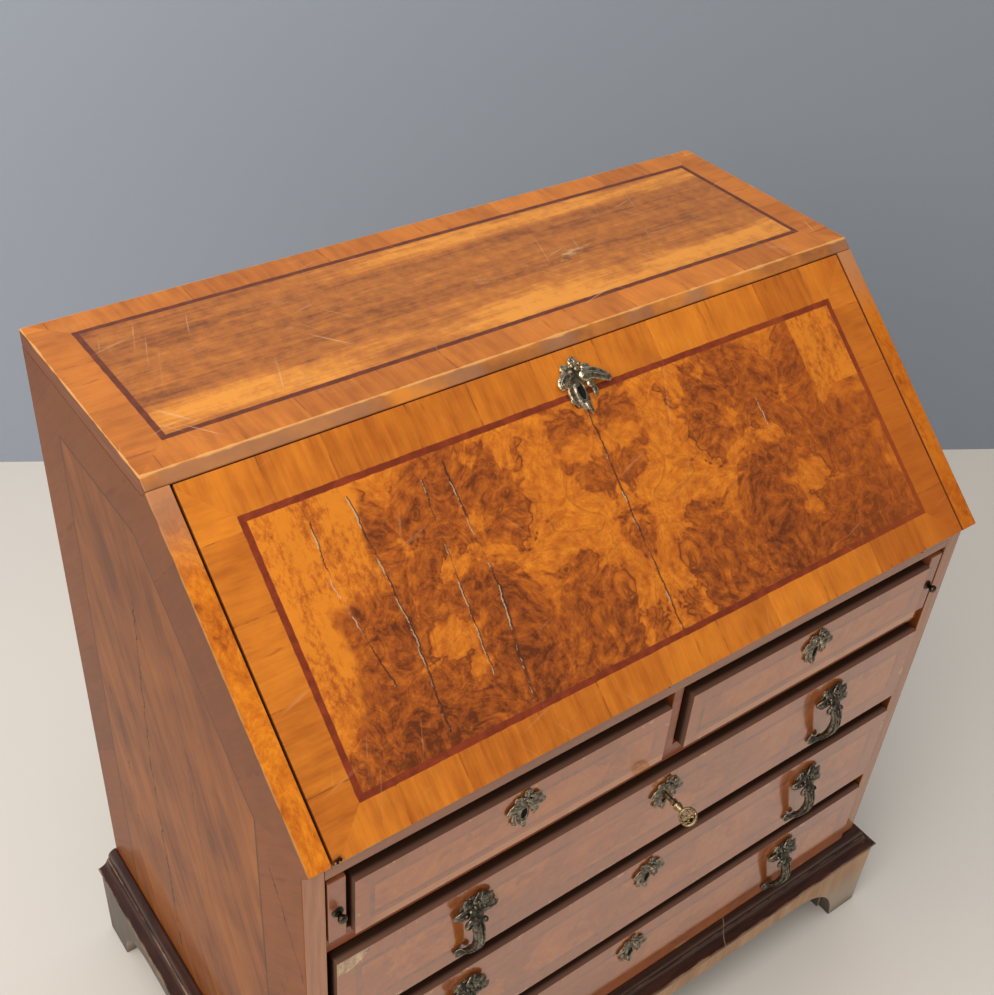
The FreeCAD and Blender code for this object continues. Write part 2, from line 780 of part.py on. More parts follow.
def make_hinges():
    bed_leaves = []
    fall_leaves = []
    pins = []
    start = "knuckle_radius + knuckle_clearance"
    for middle in hinge_places():
        x = (f"{middle} - hinge_length / 2", f"{middle} + hinge_length / 2")
        inner = (f"{middle} - knuckle_middle / 2", f"{middle} + knuckle_middle / 2")
        outer = [(x[0], f"{inner[0]} - knuckle_parting"), (f"{inner[1]} + knuckle_parting", x[1])]
        pins.append(rod_across("pin_radius", x, "front", "bed_top"))

        leaf_z = ("bed_top - hinge_leaf_thickness", "bed_top")
        plate = box(x, (f"front + {start}", "front + hinge_leaf_width"), leaf_z)
        necks = [box(span, ("front", f"front + {start}"), leaf_z) for span in outer]
        knuckles = [rod_across("knuckle_radius", span, "front", "bed_top") for span in outer]
        bore = rod_across("pin_radius + pin_clearance", x, "front", "bed_top")
        bed_leaves.append(cut(fuse([plate] + necks + knuckles), [bore]))

        leaf_out = ("0", "hinge_leaf_thickness")
        plate = sloped_box(x, (start, "hinge_leaf_width"), leaf_out)
        neck = sloped_box(inner, ("0", start), leaf_out)
        knuckle = rod_across("knuckle_radius", inner, "front", "bed_top")
        bore = rod_across("pin_radius + pin_clearance", x, "front", "bed_top")
        fall_leaves.append(cut(fuse([plate, neck, knuckle]), [bore]))
    node(group(bed_leaves), "bed_hinge_leaves")
    node(group(fall_leaves), "fall_hinge_leaves")
    node(group(pins), "hinge_pins")


def make_fall():
    board = sloped_box(("-fall_half", "fall_half"), ("fall_foot_gap", "fall_length"), ("0", "fall_thickness"))
    plate_along = "fall_length - fall_escutcheon_drop"
    key_along = f"{plate_along} - keyhole_drop"
    bore_y, bore_z = on_slope(key_along, "0")
    recesses = [
        rod("front_bore_radius", "fall_thickness", "0", bore_y, bore_z, (1, 0, 0), "slant_angle")
    ]
    for middle in hinge_places():
        x = (f"{middle} - hinge_length / 2", f"{middle} + hinge_length / 2")
        recesses.append(sloped_box(x, ("0", "hinge_leaf_width"), ("0", "hinge_leaf_thickness")))
        recesses.append(knuckle_gap(middle))
    node(cut(board, recesses), "fall_board")

    plate_y, plate_z = on_slope(plate_along, "fall_thickness")
    node(place(escutcheon(), "0", plate_y, plate_z, (1, 0, 0), "slant_angle"), "fall_escutcheon")

    foot = f"{key_along} - lock_below"
    head = "fall_length - lock_top_drop"
    half = "lock_width / 2"
    case = sloped_box((f"-{half}", half), (foot, head), ("-lock_depth", "0"))
    cavity = sloped_box(
        (f"-{half} + lock_wall", f"{half} - lock_wall"),
        (f"{foot} + lock_wall", head),
        ("-lock_depth + lock_wall", "0"),
    )
    bolt = sloped_box(
        ("-bolt_width / 2", "bolt_width / 2"),
        (f"{key_along} + key_bit_reach + key_bit_clearance", head),
        ("-lock_depth + lock_wall", "-lock_depth + lock_wall + bolt_thickness"),
    )
    node(group([cut(case, [cavity]), bolt]), "fall_lock")


def make_fall_stops():
    """Two battens under the top that the closed fall leans on."""
    head = on_slope("stop_head", "-stop_gap")
    foot = on_slope("stop_head - stop_height / sin(slant_angle)", "-stop_gap")
    outline = [head, foot, ("stop_rear", foot[1]), ("stop_rear", head[1])]
    stops = [prism("YZ", outline, *sided(side, "stop_parting", "inner")) for side in SIDES]
    node(group(stops), "fall_stops")


def check_and_export():
    doc.recompute()
    for thing in doc.Objects:
        if "Invalid" in thing.State or "Error" in thing.State:
            raise ValueError(f"{thing.Label} did not recompute")
    os.makedirs("parts", exist_ok=True)
    for thing in nodes:
        if thing.Shape.isNull() or not thing.Shape.isValid():
            raise ValueError(f"{thing.Label} has no valid shape")
        thing.Shape.exportStep(f"parts/{thing.Label}.step")
    print(f"{len(nodes)} nodes")


fill_sheet()
make_carcass()
make_rails()
make_mouldings()
make_base()
make_bed()
make_hinges()
make_fall()
make_fall_stops()
make_gallery()
for drawer_row in ("lower", "middle", "upper"):
    across = ("-long_half", "long_half")
    make_drawer(f"{drawer_row}_drawer", drawer_row, across, across, "0")
    make_pulls(drawer_row)
make_key()
for drawer_side in SIDES:
    front_across = sided(drawer_side, "small_inner", "small_outer")
    box_across = sided(drawer_side, "small_inner", "guide_inner - loper_gap")
    centre = f"{SIDES[drawer_side]} * small_middle"
    make_drawer(f"{drawer_side}_small_drawer", "small", front_across, box_across, centre)
    make_loper(drawer_side)
    make_inner_drawer(drawer_side)
check_and_export()
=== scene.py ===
import json
import math

import bmesh
import bpy
from mathutils import Matrix, Vector

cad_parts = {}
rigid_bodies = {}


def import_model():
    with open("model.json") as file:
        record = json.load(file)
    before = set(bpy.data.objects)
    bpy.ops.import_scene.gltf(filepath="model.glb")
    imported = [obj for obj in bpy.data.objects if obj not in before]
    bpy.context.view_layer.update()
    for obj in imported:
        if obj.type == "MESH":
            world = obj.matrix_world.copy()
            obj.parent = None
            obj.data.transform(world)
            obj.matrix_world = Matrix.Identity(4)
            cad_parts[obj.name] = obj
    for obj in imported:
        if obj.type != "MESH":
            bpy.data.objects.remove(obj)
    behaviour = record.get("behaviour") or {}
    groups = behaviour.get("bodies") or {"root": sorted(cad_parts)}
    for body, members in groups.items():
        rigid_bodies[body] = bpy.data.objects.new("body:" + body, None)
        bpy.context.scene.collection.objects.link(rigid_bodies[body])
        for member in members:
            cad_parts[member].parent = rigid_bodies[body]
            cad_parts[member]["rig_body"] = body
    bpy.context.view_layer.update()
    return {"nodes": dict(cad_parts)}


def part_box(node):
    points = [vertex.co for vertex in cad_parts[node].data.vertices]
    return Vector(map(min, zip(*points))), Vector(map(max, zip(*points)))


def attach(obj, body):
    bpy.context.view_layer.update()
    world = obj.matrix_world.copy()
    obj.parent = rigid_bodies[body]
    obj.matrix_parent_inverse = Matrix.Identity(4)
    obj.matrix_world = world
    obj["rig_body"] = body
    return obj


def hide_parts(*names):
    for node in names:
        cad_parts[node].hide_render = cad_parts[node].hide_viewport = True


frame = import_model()

# Faces and edges of the solids that the veneers and mounts are set against.
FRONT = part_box("writing_bed")[0].y
BED_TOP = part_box("writing_bed")[1].z
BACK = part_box("top_board")[1].y
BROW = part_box("top_board")[0].y
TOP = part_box("top_board")[1].z
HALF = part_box("top_board")[1].x
DRAWER_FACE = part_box("upper_drawer_front")[0].y
MOULDING_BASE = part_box("front_moulding")[0].z
SLANT = math.radians(41)
FALL_THICKNESS = 0.022

LONG_DRAWERS = ("upper_drawer", "middle_drawer", "lower_drawer")
SMALL_DRAWERS = ("left_small_drawer", "right_small_drawer")
BACK_BOARDS = 3

# Colours of the woods, as the light they give back.
GOLD_WOOD = (0.68, 0.215, 0.013)
ORANGE_WOOD = (0.50, 0.132, 0.010)
BROWN_WOOD = (0.31, 0.070, 0.008)
DARK_WOOD = (0.12, 0.026, 0.006)
STRING_WOOD = (0.16, 0.025, 0.007)
GAP_DARK = (0.012, 0.006, 0.004)
# Painted shade for the edges of the drawer fronts, deep in the gaps.
EDGE_PAINTED_SHADE = (0.045, 0.020, 0.011)


class Wire:
    """A shader socket to reckon with: each operator adds a Math node."""

    def __init__(self, finish, socket):
        self.finish = finish
        self.socket = socket

    def math(self, operation, *others):
        return self.finish.math(operation, self, *others)

    def __add__(self, other):
        return self.math("ADD", other)

    def __radd__(self, other):
        return self.math("ADD", other)

    def __sub__(self, other):
        return self.math("SUBTRACT", other)

    def __rsub__(self, other):
        return self.finish.math("SUBTRACT", other, self)

    def __mul__(self, other):
        return self.math("MULTIPLY", other)

    def __rmul__(self, other):
        return self.math("MULTIPLY", other)

    def __truediv__(self, other):
        return self.math("DIVIDE", other)

    def __abs__(self):
        return self.math("ABSOLUTE")

    def __lt__(self, other):
        return self.math("LESS_THAN", other)


class Finish:
    """A material being made, with its Object coordinates at hand as x, y and z."""

    def __init__(self, name):
        self.material = bpy.data.materials.new(name)
        self.material.use_nodes = True
        self.tree = self.material.node_tree
        self.shader = self.tree.nodes["Principled BSDF"]
        self.place = self.node("ShaderNodeTexCoord", output="Object")
        self.x, self.y, self.z = self.parts(self.place)

    def node(self, kind, settings=None, inputs=None, output=0):
        """Adds any node: its settings first, then values or links for its sockets."""
        made = self.tree.nodes.new(kind)
        for name, value in (settings or {}).items():
            if name == "stops":
                elements = made.color_ramp.elements
                while len(elements) < len(value):
                    elements.new(0.5)
                for element, (position, colour) in zip(elements, value):
                    element.position = position
                    element.color = (*colour, 1)
            else:
                setattr(made, name, value)
        for key, value in (inputs or {}).items():
            self.join(made.inputs[key], value)
        return Wire(self, made.outputs[output])

    def join(self, socket, value):
        if isinstance(value, Wire):
            self.tree.links.new(value.socket, socket)
        elif socket.type == "RGBA":
            socket.default_value = (*value, 1)
        else:
            socket.default_value = value

    def feed(self, sockets):
        """Links or sets the surface's own sockets."""
        for name, value in sockets.items():
            self.join(self.shader.inputs[name], value)

    def math(self, operation, *values):
        return self.node("ShaderNodeMath", {"operation": operation}, dict(enumerate(values)))

    def parts(self, vector):
        return [self.node("ShaderNodeSeparateXYZ", None, {0: vector}, letter) for letter in "XYZ"]

    def vector(self, x, y, z=0.0):
        return self.node("ShaderNodeCombineXYZ", None, {"X": x, "Y": y, "Z": z})

    def slope(self):
        """x, distance up the slope and distance out of it, from the fall's lower inner edge."""
        inputs = {"Vector": self.place, "Location": (0, FRONT, BED_TOP), "Rotation": (SLANT, 0, 0)}
        return self.parts(self.node("ShaderNodeMapping", {"vector_type": "TEXTURE"}, inputs))

    def facing(self):
        return self.parts(self.node("ShaderNodeTexCoord", output="Normal"))

    def noise(self, vector, scale, detail=2.0, roughness=0.5, distortion=0.0, output=0):
        inputs = {"Vector": vector, "Scale": scale, "Detail": detail}
        inputs.update({"Roughness": roughness, "Distortion": distortion})
        return self.node("ShaderNodeTexNoise", None, inputs, output)

    def drifted(self, vector, scale, reach, detail=2.0):
        """A vector pushed about by noise."""
        push = self.noise(vector, scale, detail, output="Color")
        inputs = {0: push, 1: (reach, reach, reach), 2: vector}
        return self.node("ShaderNodeVectorMath", {"operation": "MULTIPLY_ADD"}, inputs)

    def stretched(self, vector, amounts):
        return self.node("ShaderNodeVectorMath", {"operation": "MULTIPLY"}, {0: vector, 1: amounts})

    def step(self, value, low, high):
        """0 below low, 1 above high and smooth between."""
        inputs = {"Value": value, "From Min": low, "From Max": high}
        return self.node("ShaderNodeMapRange", {"interpolation_type": "SMOOTHSTEP"}, inputs)

    def under(self, value, low, high):
        """1 below low, 0 above high and smooth between."""
        return 1 - self.step(value, low, high)

    def near(self, value, centre, inner, outer):
        """1 close to a value, 0 further off than outer."""
        return self.under(abs(value - centre), inner, outer)

    def wander(self, reach, vector, scale, detail=2.0, roughness=0.5):
        """Noise about zero, for edges that waver; reach is its whole swing."""
        return (self.noise(vector, scale, detail, roughness) - 0.5) * reach

    def patches(self, low, high, vector, scale, detail=2.0, roughness=0.5):
        """Scattered patches: 1 where noise is above high, 0 where it is below low."""
        return self.step(self.noise(vector, scale, detail, roughness), low, high)

    def ramp(self, value, *stops):
        return self.node("ShaderNodeValToRGB", {"stops": stops}, {0: value})

    def mix(self, share, low, high):
        return self.node("ShaderNodeMix", {"data_type": "RGBA"}, {0: share, 6: low, 7: high}, 2)

    def least(self, first, *others):
        for value in others:
            first = first.math("MINIMUM", value)
        return first

    def most(self, first, *others):
        for value in others:
            first = first.math("MAXIMUM", value)
        return first

    def chance(self, value):
        """A random number for each whole number."""
        return self.node("ShaderNodeTexWhiteNoise", {"noise_dimensions": "1D"}, {"W": value.math("FLOOR")})

    def bump(self, height, distance, strength=1.0):
        inputs = {"Height": height, "Distance": distance, "Strength": strength}
        return self.node("ShaderNodeBump", None, inputs)

    def line(self, u, v, start, end, width):
        """1 on the line between two points, fading over its width."""
        run_u = end[0] - start[0]
        run_v = end[1] - start[1]
        square = run_u ** 2 + run_v ** 2
        share = (u - start[0]) * (run_u / square) + (v - start[1]) * (run_v / square)
        share = self.node("ShaderNodeClamp", None, {0: share})
        off_u = u - start[0] - share * run_u
        off_v = v - start[1] - share * run_v
        distance = (off_u * off_u + off_v * off_v).math("SQRT")
        return self.under(distance, width * 0.3, width)


def polish(finish, coat=1.0, coat_roughness=0.1, roughness=0.36, sheen=0.3, coat_ior=1.55):
    """The old clear polish over veneer; sheen is what the wood beneath gives back by itself."""
    finish.feed({"Roughness": roughness, "Specular IOR Level": sheen})
    finish.feed({"Coat Weight": coat, "Coat Roughness": coat_roughness, "Coat IOR": coat_ior})


def burr_colour(finish, u, v, lift=0.0):
    """Burr walnut: golden islands with inked edges, in brown figure that winds round small eyes."""
    bent = finish.drifted(finish.vector(u, v), 7, 0.08)
    wound = finish.drifted(bent, 26, 0.018)
    cloud = finish.noise(wound, 13, 4, 0.6) + lift
    island = finish.step(cloud, 0.50, 0.54)
    clusters = finish.patches(0.42, 0.56, bent, 8) * (1 - island * 0.7)
    eye = finish.node("ShaderNodeTexVoronoi", None, {"Vector": wound, "Scale": 48}, "Distance")
    flow = finish.noise(wound, 10, 2) + finish.under(eye, 0.0, 0.5) * clusters * 0.06
    grain = finish.noise(finish.vector(flow * 30, u * 6, v * 6), 1.5, 4, 0.7)
    mottle = finish.wander(0.55, wound, 90, 4, 0.72)
    tone = 0.445 + island * 0.09 + (cloud - 0.5) * 0.5
    tone = tone + (grain - 0.5) * (0.34 - island * 0.16) + mottle
    colour = finish.ramp(tone, (0.30, DARK_WOOD), (0.42, BROWN_WOOD), (0.55, ORANGE_WOOD), (0.68, GOLD_WOOD))
    broken = finish.patches(0.46, 0.60, bent, 13)
    ink = finish.near(cloud, 0.503, 0.004, 0.016) * broken
    level = abs((flow * 6).math("FRACT") - 0.5)
    veins = finish.under(level, 0.008, 0.045) * broken
    pith = finish.under(eye, 0.05, 0.17) * clusters
    ring = finish.near(eye, 0.26, 0.03, 0.10) * clusters
    specks = finish.patches(0.62, 0.74, finish.vector(u, v * 0.7), 420)
    dark = finish.most(ink * 0.7, veins * 0.3, pith * 0.7, ring * 0.42, specks * 0.4)
    return finish.mix(dark, colour, DARK_WOOD)


def band_colour(finish, along, across, dark, light, piece=0.08):
    """Crossbanding: short pieces side by side, with the grain across the band."""
    places = along / piece + finish.noise(finish.vector(along, 0), 9) * 0.9
    shade = finish.chance(places)
    grain = finish.noise(finish.vector(along * 70, across * 6, shade * 9), 2.2, 5, 0.68)
    cloud = finish.noise(finish.vector(along, across), 22, 3)
    colour = finish.mix(grain * 0.95 + shade * 0.34 + cloud * 0.7 - 0.52, dark, light)
    seam = finish.step(abs(places.math("FRACT") - 0.5), 0.483, 0.5)
    streak = finish.patches(0.66, 0.76, finish.vector(along * 34, across * 5), 3, 3)
    ragged = finish.patches(0.42, 0.58, finish.vector(along, across), 40)
    return finish.mix(finish.most(seam * ragged * 0.6, streak * 0.45), colour, DARK_WOOD)


def framed(finish, u, v, half_u, half_v, width, field, band, string):
    """A field, a string line and a crossbanded border; half_u and half_v reach to the string's outer edge."""
    reach_u = half_u - abs(u)
    reach_v = half_v - abs(v)
    inward = finish.least(reach_u, reach_v)
    sideways = reach_u < reach_v
    along = sideways * v + (1 - sideways) * u
    border = band_colour(finish, along, inward, *band)
    speckle = finish.noise(finish.vector(u, v), 70, 4, 0.65)
    line = finish.mix(finish.step(speckle, 0.35, 0.7), string, tuple(1.5 * part for part in string))
    edge = 0.0005
    waver = inward + finish.wander(0.0016, finish.vector(u, v), 90)
    colour = finish.mix(finish.step(waver, -edge, edge), border, line)
    return finish.mix(finish.step(waver, width - edge, width + edge), colour, field)


def scratches(finish, u, v, amount):
    """Short pale scratches that run several ways."""
    marks = []
    for turn, scale in ((0.3, 21), (1.2, 27), (2.2, 24)):
        along = u * math.cos(turn) + v * math.sin(turn)
        across = v * math.cos(turn) - u * math.sin(turn)
        mark = finish.noise(finish.vector(along * 0.18, across * 5.0), scale, 2, 0.7)
        marks.append(finish.step(mark, 0.66, 0.72))
    patch = finish.patches(0.44, 0.6, finish.vector(u, v), 12)
    return finish.most(*marks) * patch * amount


def crack_lines(finish, u, v, waver, lines):
    """The most of several wavering lines, each a start, an end and a width."""
    shifted = u + finish.wander(waver, finish.vector(u, v), 45, 4, 0.65)
    return finish.most(*[finish.line(shifted, v, *line) for line in lines])


def uneven(finish, cracks=None, depth=0.0005):
    """Old veneer: slow waves, fine pores and opened cracks."""
    height = finish.noise(finish.place, 8, 2) + finish.noise(finish.place, 300, 2) * 0.07
    if cracks is not None:
        height = height - cracks * 0.8
    finish.feed({"Normal": finish.bump(height, depth, 0.7)})


def fall_finish():
    """Burr leaves matched about the middle, a red-brown string and orange crossbanding."""
    finish = Finish("fall_veneer")
    u, v, out = finish.slope()
    leaf_joint, field_middle = 0.007, 0.179
    matched = abs(u - leaf_joint)
    ends = finish.step(matched, 0.32, 0.345) * finish.step(v, 0.06, 0.13) * 0.07
    middle = finish.near(matched, 0.05, 0.02, 0.10) * finish.step(v, 0.08, 0.2) * 0.035
    clouds = finish.near(matched, 0.25, 0.02, 0.12) * 0.03
    foot = finish.under(v, 0.07, 0.15) * 0.03
    burr = burr_colour(finish, matched, v, ends + middle - clouds - foot)
    soft = finish.noise(finish.vector(u * 9, v * 3), 4, 3, 0.6)
    speckled = finish.noise(finish.vector(u * 2, v), 90, 4, 0.75)
    plain = soft * 0.45 + speckled * 0.55
    plain = finish.ramp(plain, (0.39, BROWN_WOOD), (0.46, ORANGE_WOOD), (0.535, GOLD_WOOD))
    wavy = finish.wander(0.05, finish.vector(u, v), 14, 3)
    upper_leaf = finish.under(u + wavy, -0.284, -0.276) * finish.step(v + wavy, 0.200, 0.214)
    edge_leaf = finish.under(u + wavy, -0.350, -0.340) * finish.step(v + wavy, 0.10, 0.13)
    end_leaf = finish.most(upper_leaf, edge_leaf)
    patch = finish.step(u, 0.312, 0.314) * finish.step(v, 0.222, 0.224)
    field = finish.mix(finish.most(end_leaf, patch) * 0.85, burr, plain)
    band = ((0.32, 0.072, 0.007), (0.75, 0.245, 0.017))
    half_u, half_v, width = 0.391, 0.140, 0.007
    colour = framed(finish, u, v - field_middle, half_u, half_v, width, field, band, STRING_WOOD)
    # Painted shade: the fall grows deeper and redder towards its right, away from the light, most at its
    # right end.
    right_shade_red = finish.step(u, 0.12, 0.43) * (1 - patch * 0.8)
    right_shade_red = right_shade_red * 0.35 + finish.step(u, 0.38, 0.40) * 0.2
    right_shade_colour = (0.40, 0.085, 0.006)
    colour = finish.mix(right_shade_red, colour, right_shade_colour)
    lines = (
        ((0.008, 0.330), (0.006, 0.046), 0.0015),
        ((-0.176, 0.300), (-0.173, 0.165), 0.0016),
        ((-0.173, 0.165), (-0.187, 0.050), 0.0030),
        ((-0.284, 0.300), (-0.276, 0.165), 0.0014),
        ((-0.276, 0.165), (-0.281, 0.060), 0.0020),
        ((-0.205, 0.290), (-0.216, 0.091), 0.0011),
        ((-0.329, 0.290), (-0.331, 0.230), 0.0010),
        ((-0.331, 0.230), (-0.314, 0.120), 0.0012),
        ((0.225, 0.245), (0.227, 0.151), 0.0010),
    )
    waver, lift, thin = 0.009, 0.0011, 0.0010
    cracks = crack_lines(finish, u, v, waver, lines)
    opened = finish.patches(0.32, 0.46, finish.place, 16, 3)
    crack_dark = (0.06, 0.020, 0.009)
    colour = finish.mix(cracks * opened * 0.85, colour, crack_dark)
    # Painted highlight: a pale line in patches along the lifted edge of each crack.
    lifted_edge = crack_lines(finish, u + lift, v, waver, [(start, end, thin) for start, end, _ in lines])
    catching_light = finish.patches(0.48, 0.58, finish.place, 34, 4, 0.7)
    edge_highlight = (0.62, 0.45, 0.28)
    colour = finish.mix(lifted_edge * catching_light * 0.7, colour, edge_highlight)
    corner = finish.line(u, v, (-0.4335, 0.002), (-0.427, 0.003), 0.005)
    colour = finish.mix(corner * finish.patches(0.4, 0.5, finish.place, 260), colour, GAP_DARK)
    scratch_pale = (0.66, 0.42, 0.22)
    colour = finish.mix(scratches(finish, u, v, 0.15), colour, scratch_pale)
    inner_grain = finish.noise(finish.vector(u * 3, v * 60), 3, 4, 0.6)
    inside = finish.ramp(inner_grain, (0.3, (0.20, 0.09, 0.035)), (0.7, (0.36, 0.18, 0.075)))
    colour = finish.mix(finish.step(out, 0.016, 0.018), inside, colour)
    finish.feed({"Base Color": colour})
    polish(finish, coat=0.5, coat_roughness=0.2, roughness=0.4, sheen=0.2)
    uneven(finish, cracks)
    return finish.material


def top_finish():
    """Long walnut grain with golden streaks, scratched, in a dark string and crossbanding."""
    finish = Finish("top_veneer")
    field_middle = 0.168
    u, v = finish.x, finish.y - field_middle
    bent = finish.drifted(finish.vector(u * 0.5, v), 6, 0.05, 3)
    streak = finish.noise(finish.stretched(bent, (1.4, 10, 1)), 2.6, 5, 0.6)
    fibre = finish.noise(finish.vector(u * 7, v * 130), 2, 3, 0.6)
    waver = finish.wander(0.06, finish.vector(u, 0), 5, 3)
    front_gold = finish.near(v + waver, -0.082, 0.010, 0.034)
    back_gold = finish.near(v + waver * 0.5, 0.086, 0.006, 0.026) * finish.step(u, -0.30, 0.0)
    broken = finish.patches(0.26, 0.52, finish.vector(u * 1.4, v * 8), 3, 3)
    mottle = finish.noise(finish.vector(u, v), 60, 4, 0.7)
    tone = streak * 0.62 + fibre * 0.32 + mottle * 0.46 - 0.17
    tone = tone + finish.most(front_gold * 0.30, back_gold * 0.25) * broken
    field = finish.ramp(
        tone, (0.36, (0.15, 0.046, 0.012)), (0.50, (0.31, 0.098, 0.020)), (0.64, (0.44, 0.147, 0.024)),
        (0.82, (0.65, 0.255, 0.036)),
    )
    band = ((0.28, 0.075, 0.011), (0.66, 0.215, 0.028))
    half_u, half_v, width = 0.419, 0.107, 0.0065
    string = (0.10, 0.023, 0.009)
    colour = framed(finish, u, v, half_u, half_v, width, field, band, string)
    scratch_pale = (0.62, 0.42, 0.22)
    colour = finish.mix(scratches(finish, u, v, 0.36), colour, scratch_pale)
    rubbed = finish.patches(0.59, 0.72, finish.vector(u * 0.8, v * 2.2), 13, 5, 0.7)
    scuffed = finish.near(u, 0.08, 0.05, 0.2) * finish.near(v, -0.012, 0.01, 0.07)
    rubbed_pale = (0.58, 0.38, 0.18)
    colour = finish.mix(rubbed * (0.16 + scuffed * 0.5), colour, rubbed_pale)
    nosing_edge = BROW + 0.0112
    nosing = finish.under(finish.y, nosing_edge - 0.0012, nosing_edge + 0.0013)
    patch = finish.noise(finish.vector(u * 1.3, finish.z * 3), 10, 4, 0.6)
    strip = finish.ramp(
        patch, (0.36, (0.28, 0.098, 0.028)), (0.50, (0.44, 0.150, 0.029)), (0.64, (0.60, 0.210, 0.028)),
    )
    dull = finish.noise(finish.vector(u, finish.z), 17, 3) - finish.step(u, -0.40, 0.30) * 0.12
    dull = dull + finish.under(u, -0.45, -0.36) * 0.2
    dull_wood = (0.29, 0.140, 0.075)
    strip = finish.mix(finish.step(dull, 0.38, 0.56) * 0.65, strip, dull_wood)
    colour = finish.mix(nosing, colour, strip)
    facing_x, facing_y, _ = finish.facing()
    below = finish.step(TOP - finish.z, 0.003, 0.004) * (1 - nosing)
    ends = finish.most(below, finish.step(finish.most(abs(facing_x), facing_y), 0.6, 0.8))
    end_grain = finish.noise(finish.vector(finish.x * 3, finish.y * 3, finish.z * 40), 5, 4)
    end_wood = finish.ramp(end_grain, (0.3, (0.13, 0.032, 0.007)), (0.7, (0.25, 0.068, 0.013)))
    colour = finish.mix(ends, colour, end_wood)
    ragged = finish.wander(0.004, finish.place, 40, 3)
    rim = finish.least(HALF - abs(u), BACK - finish.y)
    arris = finish.most(rim, TOP - finish.z)
    brow_arris = finish.most(abs(finish.y - nosing_edge), TOP - finish.z)
    chipped = finish.under(finish.least(arris, brow_arris) + ragged, 0.0006, 0.0020)
    chip_pale = (0.72, 0.38, 0.12)
    colour = finish.mix(chipped * 0.7, colour, chip_pale)
    coat = 0.3
    polish(finish, coat, coat_roughness=0.2, roughness=0.45, sheen=0.2)
    finish.feed({"Base Color": colour, "Coat Weight": coat - ends * 0.22})
    uneven(finish)
    return finish.material


